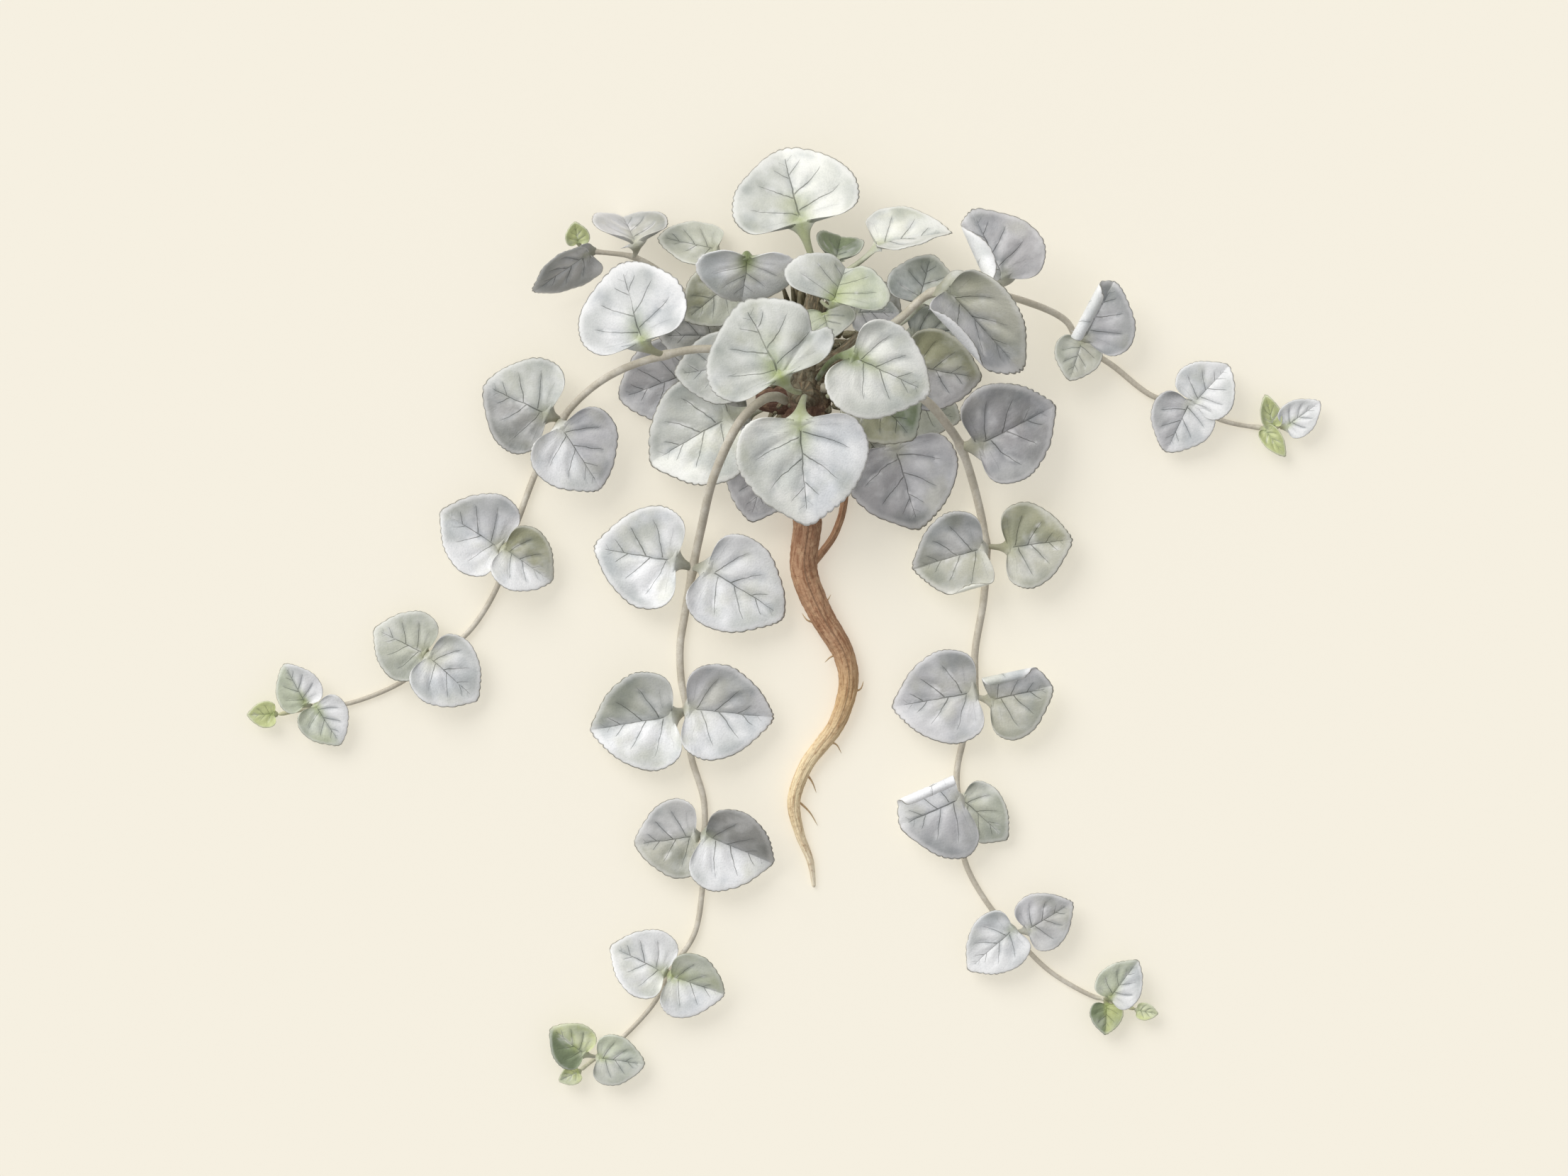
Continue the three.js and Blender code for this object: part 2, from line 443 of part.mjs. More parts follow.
const plant = new THREE.Group();
plant.name = "silver_ponyfoot";
plant.add(meshOf("crown_and_taproot", rootSolid(), WOOD));
for (const [name, ...row] of CROWN_LEAVES) {
  const look = name.endsWith("green") ? YOUNG_LEAF : LEAF;
  plant.add(meshOf(`crown_leaf_${name}`, offTheCrown(leafSolid(leafOf(row))), look));
}
for (const runner of RUNNERS) {
  plant.add(meshOf(runner.name, offTheCrown(runnerSolid(runner)), LEAF));
}

export default plant;
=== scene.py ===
"""A silver ponyfoot plant lifted with its root and laid on a pale surface, seen from straight above.

The tables give lengths in millimetres and angles in degrees, and the meshes are made in metres in the frame
of the solids: +Z up from the surface, +Y from the root's tip towards the top leaf, the origin under the
crown. Shapes are worked out as whole arrays. A leaf's own directions are across to its right, along its
midrib and up out of its upper face.
"""

import math

import bpy
import numpy as np
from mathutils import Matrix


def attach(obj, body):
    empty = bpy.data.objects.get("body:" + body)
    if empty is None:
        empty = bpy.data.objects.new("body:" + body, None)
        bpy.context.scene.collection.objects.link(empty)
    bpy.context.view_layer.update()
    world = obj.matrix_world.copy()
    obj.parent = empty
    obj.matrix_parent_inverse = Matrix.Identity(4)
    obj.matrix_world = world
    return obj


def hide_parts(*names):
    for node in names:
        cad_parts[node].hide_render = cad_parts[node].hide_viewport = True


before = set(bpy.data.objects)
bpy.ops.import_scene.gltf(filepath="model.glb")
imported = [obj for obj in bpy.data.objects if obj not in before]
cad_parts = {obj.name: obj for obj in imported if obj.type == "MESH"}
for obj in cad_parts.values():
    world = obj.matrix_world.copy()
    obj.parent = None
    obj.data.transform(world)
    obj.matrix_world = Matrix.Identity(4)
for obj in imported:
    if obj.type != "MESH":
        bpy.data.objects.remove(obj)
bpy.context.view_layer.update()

MM = 0.001
LOWEST = 0.02  # no point of the plant lies lower than this above the surface

# The picture: its size, the pixel where the origin lies, and how much of the plant one pixel shows.
PICTURE = (2212, 1659)
ORIGIN_PIXEL = (1135, 560)
MM_PER_PIXEL = 0.16

# The two finishes of a leafy piece, by their places in its list
FELT, STEM = 0, 1

# Form of a blade, as in the solids. Lengths are shares of the blade's own length.
BLADE_SPREAD = 112  # degrees round the stalk that half a blade fills, unless its row says more
USUAL_BEND = -10  # how far the midrib bends over its length, in degrees
USUAL_ARCH = -20  # how far a half turns down between midrib and margin
LOBE_TAPER = 0.68
NOTCH_DEPTH = 0.29
NOTCH_POWER = 16
TIP_ROUNDING = 0.05
TIP_TAPER = 0.4
HALF_WIDTH = 0.6  # how far out a half has turned by its whole arch
RIPPLE = 0.022
RIPPLE_RATE = 4
STALK_RADIUS = 0.65
THIN_STALK = 0.6
FULL_LEAF = 18
STALK_SWEEP = 0.38  # how far a stalk keeps its blade's line, as a share of its own reach
STALK_APPROACH = (0, -0.6, -0.8)  # the way from blade to stalk: back along the midrib and down

# Stems: rings for each stretch between two points, the radius at the tip, how much a stem swells where leaves
# grow and over what share of a stretch, where its end begins to be rounded, and how far the old foot reaches
STEM_RINGS = 14
STEM_TIP_RADIUS = 0.45
SWELLING = 0.3
SWELLING_LENGTH = 0.16
STEM_END = 0.12
OLD_STEM = 1.6
TUBE_SIDES = 16

# Stalks: over what share of the blade's length one takes its blade's colour, for crown leaves and runner
# leaves, how many rings lead up to the blade, and how many more run on under the midrib
STALK_FADE = 0.35
THIN_STALK_FADE = 0.12
STALK_ROWS = 32
TONGUE_ROWS = 8

# What the fine blade has beyond that
BLADE_THICKNESS = 0.42
TEETH = 32  # round teeth along the margin of a full-sized leaf
TOOTH_DEPTH = 0.018
COCKLE = 0.006  # small waves behind the teeth
CUP = 0.05  # how far the margin is lifted, against the arch
ROLL = 0.022  # how far its outermost part rolls down again
HOLLOW = 0.045  # how deep each half is hollowed between midrib and margin
QUILT = 0.024  # how far the blade swells between its veins
QUILT_WIDTH = 0.075
GROOVE = 0.007  # how deep a vein's own furrow lies below that
GROOVE_WIDTH = 0.02
FUNNEL_DEPTH = 0.05  # how far the blade dips to its stalk
FUNNEL_WIDTH = 0.13
FLARE = 0.045  # how far a stalk widens on each side where it runs into the blade
FLARE_LENGTH = 0.16
WEB = 0.17  # how far it widens more, close to the blade, so that the back lobes run into it in a curve
WEB_LENGTH = 0.055
WEB_LIFT = 0.02  # how far the edges of that web rise to meet the lobes
TONGUE = 0.2  # how far the stalk shows as a ridge along the foot of the midrib

# Side veins of a blade one unit long, the same on both halves: where the vein's line meets the midrib, how
# steeply it climbs, how it curves, how far out it begins and ends, and how strong it is. Those that begin
# further out are forks of the others.
SIDE_VEINS = [
    (0.06, 0.03, -0.1, 0.12, 0.4, 0.3),
    (0.12, 0.3, 0.4, 0.02, 0.43, 0.9),
    (0.25, 0.05, 0.2, 0.33, 0.42, 0.4),
    (0.33, 0.75, 0.5, 0.01, 0.3, 1.0),
    (0.6, 1.0, 0.8, 0.01, 0.13, 0.8),
    (0.77, 0.9, 0.5, 0.01, 0.07, 0.4),
]
MIDRIB_START = 0.07
MIDRIB_END = 0.87

# Leaves with one deep pleat from the stalk to the margin: its angle to the right of the midrib in degrees,
# how wide it is, how far it cuts into the margin and how deep it lies.
PLEATS = {"front_left": (52, 9, 0.26, 0.09), "upper_right": (2, 13, 0.22, 0.07)}

# Runner leaves with one half curled up and over, so that its pale underside shows: the runner and the leaf's
# number on it, then the side (-1 left, 1 right), the half's fold up from flat, how far out the curl begins as
# a share of the length, and how far the rest of the half turns.
CURLS = {
    ("runner_upper_right", 0): (-1, 28, 0.16, 180),
    ("runner_upper_right", 1): (1, 42, 0.26, 420),
    ("runner_upper_right", 2): (-1, 40, 0.2, 290),
    ("runner_right", 1): (-1, 14, 0.44, 170),
    ("runner_right", 4): (-1, 24, 0.33, 240),
    ("runner_right", 5): (1, 20, 0.32, 240),
}
CURL_REACH = 0.6  # the share of the length over which a half turns that far
CURL_CALM = 0.3  # how much of the ripples and swellings is left on a curled half

# Leaves whose margin is pale, without the brown line of the others: their rim value stops short of it
PALE_RIM_SHARE = 0.98
PALE_MARGINS = {"upper_front", "upper_right", "inner_small", "front_left", "front_right", "front_low"}

# Where the rings of points lie, as shares of the way from the stalk's end to the margin, and how many
# columns of them a tooth has
BLADE_RINGS = [0.06, 0.12, 0.19, 0.27, 0.35, 0.43, 0.51, 0.59, 0.67, 0.75, 0.82, 0.88, 0.93, 0.97, 1]
TOOTH_COLUMNS = 6

# How the veins are drawn, as shares of a blade's length
MIDRIB_WIDTH = 0.013
VEIN_WIDTH = 0.0105
WASH_WIDTH = 0.075
VEIN_SWAY = 0.045  # how far a vein's line wanders across the blade
VEIN_DRIFT = 0.07  # how far it wanders along it
VEIN_STAGGER = 0.025  # a side vein leaves the midrib this much further up on the right, less on the left

# The camera, the floor and the light
LENS = 200
SENSOR = 36
LEAF_HEIGHT = 10  # the height at which a pixel shows the stated length
FLOOR_SIZE = 6  # metres
FLOOR_DROP = 0.2  # how far the floor lies below the plant's lowest point, so that they don't flicker
FLOOR_COLOUR = (0.96, 0.942, 0.892)
SUN_FROM = (-0.55, 0.6, 0.72)
SUN_WIDTH = 40
SUN_STRENGTH = 0.8
FILL_STRENGTH = 1.9
SUN_COLOUR = (1.0, 0.985, 0.955)
SKY_COLOUR = (1.0, 0.99, 0.98)
SKY_STRENGTH = 0.44

# Paints by name, for blades, stalks and stems, and wood, as they look on a screen in full light
PAINTS = {
    "white": (0.955, 0.96, 0.972),
    "silver": (0.875, 0.88, 0.888),
    "pearl": (0.915, 0.92, 0.9),
    "felt": (0.78, 0.79, 0.77),
    "mist": (0.81, 0.81, 0.822),
    "grey": (0.73, 0.73, 0.73),
    "stone": (0.74, 0.74, 0.69),
    "lavender": (0.735, 0.735, 0.75),
    "violet": (0.65, 0.645, 0.655),
    "dusk": (0.6, 0.6, 0.59),
    # painted shade, for the leaves that lie under the crown
    "shade": (0.42, 0.42, 0.38),
    "teal": (0.6, 0.62, 0.605),
    "sage": (0.75, 0.76, 0.71),
    "olive": (0.63, 0.63, 0.53),
    "moss": (0.5, 0.55, 0.43),
    "lichen": (0.78, 0.805, 0.72),
    "bud": (0.77, 0.8, 0.58),
    "sap": (0.63, 0.68, 0.44),
    # deep green, partly painted shade, for the funnels of some blades and their stalks
    "deep": (0.43, 0.48, 0.33),
    "leaf_stalk": (0.72, 0.73, 0.62),
    "thin_stalk": (0.6, 0.59, 0.5),
    "stem": (0.735, 0.71, 0.655),
    "old_stem": (0.68, 0.66, 0.57),
    "young_stem": (0.74, 0.75, 0.58),
    # olive-grey crown wood, darkened partly as painted shade inside the crown
    "crown_wood": (0.48, 0.46, 0.39),
    "red_wood": (0.42, 0.31, 0.26),
    "old_bark": (0.6, 0.46, 0.36),
    "bark": (0.69, 0.54, 0.42),
    "ochre_bark": (0.8, 0.68, 0.51),
    "cream_root": (0.95, 0.88, 0.73),
    "root_tip": (1.0, 0.98, 0.9),
}

# A blade's own colours: how much of a half's paint its underside has, how sharply the paints of the halves
# meet at the midrib, and how far the streak and the deep green funnel, partly painted shade, reach from the
# stalk's end
UNDERSIDE = 0.7
CURLED_UNDERSIDE = 1.8  # a curled half shows pale, young felt
HALVES_MEET = 14
STREAK_REACH = 0.21
DEEP_REACH = 0.12

# Colours that the finishes lay over a paint: the pale ones are mixed in, and the others multiply it
PALE_WASH = (0.95, 0.95, 0.96)
COOL_WASH = (0.8, 0.82, 0.835)
WARM_WASH = (0.9, 0.9, 0.83)
# painted shade in the hollows inside the rim
HOLLOW_SHADE = (0.78, 0.795, 0.78)
# painted shade beside the veins
VEIN_SHADE = (0.76, 0.78, 0.79)
VEIN = (0.58, 0.58, 0.56)
# a painted highlight along the raised rim, inside the margin line
RIM_HIGHLIGHT = (0.93, 0.93, 0.93)
MARGIN = (0.55, 0.53, 0.44)
STREAK = (0.78, 0.69, 0.62)
PALE_BARK = (0.86, 0.74, 0.6)
SPECKLE = (0.74, 0.64, 0.56)
FELT_SPECKLE = (0.84, 0.85, 0.85)
STEM_PATCH = (0.92, 0.91, 0.88)
STEM_SPECKLE = (0.8, 0.77, 0.73)

# Soft patches in the felt by name: the noise's scale and detail, how far it is shifted from the others, and
# the levels between which a patch begins and is full
PATCHES = {
    "cool": (110, 3, 3.1, 0.46, 0.7),
    "warm": (85, 3, 7.7, 0.5, 0.7),
    # patches of painted highlight beside the veins
    "lit": (260, 2, 9.2, 0.52, 0.66),
    # patches of painted shade in the hollows
    "hollow_shade": (75, 2, 4.4, 0.42, 0.6),
    "faded vein": (300, 2, 1.4, 0.3, 0.55),
    "broken margin": (700, 2, 2.2, 0.4, 0.55),
}

# Crown leaves: the name, the paints of the left and right halves, how green the foot of the blade is, where
# the stalk starts, where it meets the blade, the blade's heading, pitch and roll, its length, its width
# against the plain outline's, how far the left and right halves are folded up, and, where they aren't the
# usual ones, the midrib's bend, the arch of the halves and their spreads round the stalk. The paints are
# partly each leaf's own tone and partly painted light and shade: halves and leaves that lie in shade get
# darker paints and lit ones paler, and a green above 1 gives the funnel a deep green that is partly
# painted shade.
CROWN_LEAVES = [
    ["top", "felt/pearl", 0.9, [3, 27.5, 14], [-0.9, 39.6, 19], 104, -32, 0, 21, 1.22, 8, 8, -8, -20],
    ["top_right", "pearl/felt", 0.6, [4, 25, 13.5], [16.4, 34.9, 16], 10, -8, 60, 17.3, 1.05, 22, 22],
    ["inner_green", "moss/moss", 0.5, [2.8, 26.5, 15], [7.2, 31.2, 14], 78, -48, 0, 8, 1.4, 25, 25, -4, 10],
    ["back_left", "sage/sage", 0.3, [-14, 18, 10], [-20, 33.8, 5.8], 168, 0, -40, 13.5, 0.9, 8, 8],
    ["upper_front", "white/white", 1.8,
     [-12.6, 17.2, 9.2], [-12.8, 30.4, 21.5], 262, -37, 14, 12, 1.45, 22, 10, -10, -25, 150, 150],
    ["upper_right", "felt/lichen", 1,
     [3.4, 22, 13], [6.4, 21.4, 22.2], 72, -18, 14, 11.4, 1.95, 38, 20, -10, -25],
    ["inner_small", "sage/lichen", 0.9,
     [3.5, 14, 11], [4.4, 18.8, 15.4], -78, 30, 0, 7, 1.6, 12, 12, -10, -20, 135, 135],
    ["front_left", "felt/felt", 1, [-1, 1, 13], [-5.4, 4.4, 27], 117, -12, 0, 19.6, 1.36, 5, 5, -8, -15],
    ["front_right", "pearl/pearl", 1.7,
     [3, 4, 12], [11, 8.6, 27], -25, -8, 0, 19, 1, 8, 12, -10, -20, 112, 140],
    ["front_low", "white/pearl", 0.9, [0, 0, 14], [-1, -6, 23], -86, -12, 0, 23.8, 1.1, 8, 8, -8, -20],
    ["left_under", "sage/olive", 0.3, [-13, 16, 11], [-17.5, 24.8, 12.2], 218, -6, 0, 12.3, 1, 5, 5],
    ["left_dark", "dusk/dusk", 0.1, [-8, 10, 8], [-19, 14, 6], 180, 0, 0, 14, 1, 5, 5],
    ["left_mid", "felt/felt", 0.2, [-6, 5, 10], [-15, 7, 15], 188, -5, 0, 14.5, 1, 5, 5],
    ["left_low", "lavender/violet", 0.1, [-6, 4, 6], [-27, 5.2, 3.8], 200, 0, 0, 16, 1.08, 5, 5],
    ["left_foot", "pearl/felt", 0.3, [-4, -2, 8], [-17.3, -4.6, 11.2], 210, -12, 0, 21.2, 1.04, 14, 8],
    ["left_peek", "mist/mist", 0.1, [-5, -2, 5], [-12, -9, 5.5], 230, -3, 0, 10.5, 0.9, 5, 5],
    ["low_left", "violet/violet", 0.1, [-4, -7, 4], [-8, -13, 9.7], 254, -6, 0, 16, 0.95, 5, 5],
    ["low_right", "lavender/violet", 0.2, [4, -5, 7], [20.6, -11.4, 9], -74, -12, 0, 19.8, 1.14, 8, 8],
    ["right_green", "moss/olive", 0.6, [5, 0, 10], [14, 2, 15.2], -48, -6, 0, 16, 1.05, 5, 5],
    ["right_mid", "olive/violet", 0.3, [6, 4, 9], [24, 7, 10], -10, -6, 0, 16.5, 1, 5, 5],
    ["right_light", "sage/sage", 0.2, [6, 0, 6], [23, -1, 5], -18, -3, 0, 13, 0.95, 5, 5],
    ["right_back", "teal/sage", 0.3, [8, 12, 9], [25.8, 21.5, 15], 75, -24, 0, 12.3, 1.18, 8, 8],
    ["right_teal", "teal/teal", 0.2, [9, 10, 10], [24.5, 14.4, 7], 4, 2, 0, 14, 0.78, 5, 5],
    ["right_inner", "teal/lavender", 0.3, [5, 15, 10], [11.5, 19, 13.1], 0, 0, 0, 10, 0.85, 5, 5],
    # Leaves under the crown, whose dark paint is painted shade between the leaves above them
    ["under_left_front", "shade/shade", 0.1, [-5, -1, 4], [-13, -4, 2.8], 200, 0, 0, 12, 1, 5, 5],
    ["under_left", "shade/shade", 0.1, [-5, 5, 3], [-11, 12, 2.2], 140, 0, 0, 11, 1, 5, 5],
    ["under_left_back", "shade/shade", 0.1, [-9, 13, 9], [-11, 22, 4], 125, -2, 0, 12, 1.1, 5, 5],
    ["under_right_back", "shade/shade", 0.1, [6, 9, 8], [13, 16, 3.4], 55, 0, 0, 12, 1.1, 5, 5],
    ["under_right", "shade/shade", 0.1, [5, 5, 3], [13, 6.8, 1.9], 8, 0, 0, 12, 0.95, 5, 5],
    ["under_right_front", "shade/shade", 0.1, [5, -4, 3.5], [14.5, -9.5, 2.5], -55, 0, 0, 12.5, 1, 5, 5],
]

# Runners: the stem's radius at its foot, its points, and its leaves in rows like those above, each with the
# number of the stem's point that it grows from in place of a name and a stalk's start.
RUNNERS = {
    "runner_left": (1, [
        [-3, 4, 11], [-12, 9.5, 17], [-23.4, 10.6, 18], [-31.4, 9.3, 16], [-41.8, 5.9, 11],
        [-49.1, 1.3, 6.5], [-55.1, -5.2, 3], [-60.8, -16.6, 1.2], [-65, -27.7, 0.9], [-67.7, -34.3, 0.9],
        [-69.3, -41.9, 0.8], [-77, -53.9, 0.8], [-85.1, -58.4, 0.8], [-90.2, -63.7, 0.7],
        [-102.6, -69.1, 0.6], [-110.4, -70.1, 0.6], [-119.4, -71.8, 2],
    ], [
        [3, "silver/silver", 0.9, [-36.7, 12.6, 20], 105, -16, 0, 19.2, 1.22, 4, 35],
        [6, "dusk/felt", 0.3, [-58.3, -3.8, 7], 155, -6, 0, 16, 1.25, 8, 8],
        [6, "lavender/white", 0.3, [-54.9, -7, 9], -57, -10, 0, 16.6, 1.14, 10, 28],
        [9, "white/mist", 0.2, [-69.2, -34, 5], 147, 5, 0, 15.5, 1.2, 42, 8],
        [9, "olive/white", 0.3, [-67.8, -34.3, 6], -35, -8, 0, 13.2, 1.05, 15, 35],
        [12, "sage/sage", 0.3, [-86.2, -58, 4], 153, 0, 0, 12.6, 1.18, 25, 8],
        [12, "silver/white", 0.3, [-85, -58.8, 5.5], -42, -6, 0, 14.8, 1.02, 8, 28],
        [15, "lichen/silver", 1, [-113, -69.3, 3.5], 118, 10, 0, 10.3, 0.9, 10, 10],
        [15, "silver/lichen", 1, [-110.6, -69.9, 4.5], -57, -5, 0, 10.4, 1, 10, 10],
        [16, "bud/bud", 1, [-120.3, -71.7, 2.6], 182, 10, 0, 6, 0.9, 15, 15],
    ]),
    "runner_front": (1.15, [
        [-4, -1, 9], [-6.5, 0, 14], [-9.5, -0.9, 18], [-14.2, -5.3, 19.5], [-20.3, -17.6, 14],
        [-23.4, -29.8, 6], [-25.3, -38.7, 2], [-27.1, -49, 1.1], [-28.2, -56.3, 1], [-27.9, -64.3, 1],
        [-26.6, -70.7, 1], [-25.8, -80.8, 0.9], [-22.9, -90.9, 0.9], [-22.6, -99.2, 0.9],
        [-23.2, -111.7, 0.8], [-25, -121.6, 0.8], [-30.7, -130.4, 0.8], [-34.1, -137.2, 0.7],
        [-42.4, -146.1, 0.6], [-47, -149.4, 0.9], [-50.8, -152.4, 2.2],
    ], [
        [6, "white/silver", 0.2, [-29.5, -37.1, 6], 170, -4, 0, 18.4, 1.13, 8, 8],
        [6, "silver/white", 0.2, [-21.8, -38.9, 8], -32, -8, 0, 20.6, 0.96, 8, 8],
        [10, "white/felt", 0.3, [-30.2, -72.1, 5], 190, -2, 0, 18.5, 1.1, 10, 28],
        [10, "mist/white", 0.3, [-26, -70.4, 6.5], -6, -6, 0, 19.2, 1.02, 25, 10],
        [13, "stone/grey", 0.3, [-24.9, -99.3, 5], 188, 2, 0, 13.7, 1.17, 8, 8],
        [13, "dusk/white", 0.5, [-22.2, -99, 6.5], -23, -6, 0, 16.6, 1.2, 55, 8],
        [16, "white/silver", 0.7, [-31.9, -130.2, 5], 153, 2, 0, 13.4, 1.1, 36, 8],
        [16, "lichen/white", 0.9, [-30.1, -130.9, 5.5], -19, -4, 0, 12.7, 1.2, 50, 8],
        [19, "moss/bud", 1, [-49.9, -148.6, 4], 142, 8, 0, 9.6, 1, 12, 12],
        [19, "lichen/sage", 0.9, [-46.6, -149.5, 4], -8, 0, 0, 10.6, 0.98, 20, 8],
        [20, "bud/bud", 1, [-51.3, -152.8, 2.8], 205, 5, 0, 4.8, 0.85, 15, 15],
    ]),
    "runner_right": (1.15, [
        [4, 2, 10], [14, 3, 18.5], [22, 2, 20], [27.5, -1.2, 18], [32.3, -6.6, 13], [35.2, -11, 9],
        [39, -22.4, 3], [41.1, -33.6, 1.1], [40.7, -45.1, 1], [38.7, -57.4, 1], [38.5, -67.5, 0.9],
        [36, -77.6, 0.9], [34.6, -84.3, 0.9], [34.7, -90.3, 0.9], [36.3, -104.8, 0.8], [41, -113.9, 0.8],
        [46.9, -121.1, 0.7], [55.6, -130, 0.6], [65.7, -135.8, 0.6], [68, -136.3, 1], [75, -138.6, 2.2],
    ], [
        [5, "violet/violet", 0.2, [39.3, -10.8, 12], 27, -8, 0, 19.8, 1.03, 22, 6],
        [7, "stone/grey", 0.2, [40.2, -34.2, 6.5], 196, -6, 0, 16.5, 1.08, 28, 22],
        [7, "olive/stone", 0.3, [46.2, -33.9, 5.5], 7, 5, 0, 14.4, 1.2, 6, 12],
        [10, "mist/lavender", 0.2, [38.3, -66.8, 6], 190, -5, 0, 18.8, 1, 10, 8],
        [10, "mist/stone", 0.2, [42.3, -68.4, 5.5], 12, 4, 0, 14.2, 1.25, 48, 8],
        [13, "lavender/white", 0.2, [35, -90.9, 7], 204, -5, 0, 15, 1.5, 6, 86],
        [13, "sage/sage", 0.3, [35.8, -91, 3.5], -42, 0, 0, 13.6, 0.88, 8, 8],
        [16, "silver/silver", 0.6, [47.2, -120.4, 5], 222, -4, 0, 13.8, 0.9, 8, 8],
        [16, "lavender/grey", 0.3, [50.6, -120.5, 4.5], 32, 4, 0, 11.8, 1, 8, 8],
        [19, "lichen/silver", 0.9, [69.2, -135.9, 4], 53, 5, 0, 10.6, 0.88, 15, 10],
        [19, "bud/moss", 1, [68.5, -137.6, 3], -93, 5, 0, 6.7, 1, 12, 12],
        [20, "bud/bud", 1, [75.6, -138.8, 2.8], -10, 5, 0, 4.6, 0.78, 15, 15],
    ]),
    "runner_upper_right": (1, [
        [8, 8, 11], [20.8, 16.9, 20], [28.7, 23.2, 21], [40.6, 23.2, 17], [49.9, 21.5, 11], [59.2, 17.3, 5],
        [62.2, 12.6, 3], [69.9, 7.3, 1], [79.2, 0.3, 0.8], [87.8, -1.4, 0.8], [94.4, -5, 0.7],
        [103, -6.7, 0.8], [107.8, -6.6, 2],
    ], [
        [3, "mist/violet", 0.3, [44.4, 26.9, 19], 114, -8, 0, 16.8, 1.12, 70, 4, -10, -15, 112, 132],
        [2, "stone/lavender", 0.3, [32.3, 23.3, 24], -47, -14, 0, 25.5, 0.74, 35, 45],
        [6, "mist/lavender", 0.3, [63.3, 13.4, 7], 62, 5, 0, 14.5, 1.22, 64, 6, -10, -15],
        [6, "stone/sage", 0.3, [62.7, 12.4, 6], -108, 10, 0, 9.2, 1.05, 12, 12],
        [9, "silver/silver", 0.4, [88.4, -1, 4.5], 47, 5, 0, 11.3, 1.15, 6, 25],
        [9, "silver/lavender", 0.3, [87.2, -1.3, 5], 244, -5, 0, 12.4, 1.05, 10, 10],
        [11, "bud/bud", 1, [106.2, -6.2, 2.8], 105, 10, 0, 7.2, 0.6, 15, 15],
        [11, "bud/bud", 1, [104.4, -7.3, 2.5], -53, 5, 0, 7.6, 0.55, 15, 15],
        [12, "silver/silver", 0.9, [109.3, -6.4, 3.2], 36, 5, 0, 9.3, 0.8, 12, 12],
    ]),
    "runner_upper_left": (0.9, [
        [-8, 12, 10], [-18, 17, 8.8], [-27, 23.5, 8.2], [-33.8, 29.2, 7.5], [-38.7, 31.7, 8],
        [-47.3, 32.9, 9], [-50.4, 33.6, 9.5],
    ], [
        [4, "mist/grey", 0.3, [-38.4, 35.3, 13.5], 116, -60, 0, 15, 1.05, 52, 2],
        [5, "grey/grey", 0.3, [-48.8, 31.9, 11], 214, -8, 50, 15, 0.82, 10, 14],
        [6, "bud/bud", 1, [-51, 34.8, 11], 100, 20, 0, 5, 1, 20, 20],
    ]),
}

# Woody parts, as in the solids: points, a radius at each, paints from foot to tip, how many rings and sides
# the mesh has, and the seed of its bark. First the crown, then its branches, the taproot and the side root.
WOOD = [
    ([[0, -14, 5], [0, -7, 5.6], [0, 0, 6], [0.5, 7, 7.5], [1, 14, 10], [2, 21, 12.5], [3, 27.5, 15]],
     [4.2, 5, 6.4, 5, 3, 2.1, 1.3], ["crown_wood"] * 2 + ["red_wood"] + ["crown_wood"] * 6, 160, 40, 1),
    ([[0, 5, 8], [-8, 11, 10.5], [-14, 18, 11]], [3, 2, 1.2], ["crown_wood"] * 2, 50, 28, 10),
    ([[0, 5, 8], [8, 9, 11], [14.5, 15.5, 12]], [3, 2, 1.2], ["crown_wood"] * 2, 50, 28, 11),
    ([[0, 0, 6], [0, 0.5, 10.5], [-0.5, 1, 14]], [4.5, 3.6, 2.4], ["red_wood", "crown_wood"], 50, 28, 12),
    ([[0, 0, 6], [-6, -0.5, 7.5], [-11, -1, 8]], [4.2, 3.4, 2], ["red_wood"] * 2, 50, 28, 13),
    ([[0, -11, 5], [0.3, -20, 3.7], [0.6, -29.6, 3.1], [-0.2, -38.8, 3], [3.4, -48.6, 2.7], [9, -58.4, 2.3],
      [9.9, -65.8, 2.1], [7.1, -74.2, 1.8], [0.3, -83.5, 1.5], [-2.4, -91.5, 1.4], [-1.1, -98.8, 1],
      [1.3, -105, 0.8], [2.2, -111, 0.5]],
     [4.4, 3.7, 3.2, 3.1, 2.8, 2.4, 2.2, 1.9, 1.6, 1.5, 1.1, 0.8, 0.4],
     ["old_bark"] * 2 + ["bark"] * 2 + ["ochre_bark"] + ["cream_root"] * 2 + ["root_tip"], 420, 48, 2),
    ([[3, -8, 5], [8.5, -17, 3], [9, -23.5, 2.2], [6.8, -30.9, 1.8], [1.6, -38, 2.6]],
     [1.2, 0.95, 0.85, 0.85, 0.9], ["bark", "bark"], 120, 20, 3),
]
ROOTLETS = [
    [[3, -45.6, 2.6], [5, -46, 2.6], [6, -44.6, 2.4]],
    [[2.5, -51, 2.5], [0.6, -50.4, 2.4], [-0.6, -48.8, 2]],
    [[8, -58, 2.2], [5.9, -58.8, 1.8], [4.6, -60, 1.2]],
    [[11, -66.6, 2], [12.7, -66, 1.8], [13.4, -64.2, 1.3]],
    [[5.5, -78, 1.5], [7.2, -78.6, 1.2], [8.4, -80.6, 0.8]],
    [[0.6, -85.4, 1.3], [1.8, -87.2, 1], [2.7, -89.6, 0.6]],
    [[-1.4, -91.4, 1.2], [1.2, -94, 0.9], [3, -97, 0.5]],
]
# What all rootlets share after their points, but for the seed, of which this is the first one's
ROOTLET = ([0.3, 0.18, 0.07], ["ochre_bark", "cream_root"], 16, 8, 20)

# The bark's waves: how often each goes round, how fast along the root in radians a millimetre, and how
# strong it is as a share of the radius
BARK_WAVES = [(3, 0.12, 0.07), (5, 0.5, 0.06), (9, 1.4, 0.035), (2, 3.2, 0.03)]
ROOTLET_WAVES = [(3, 1, 0.05)]
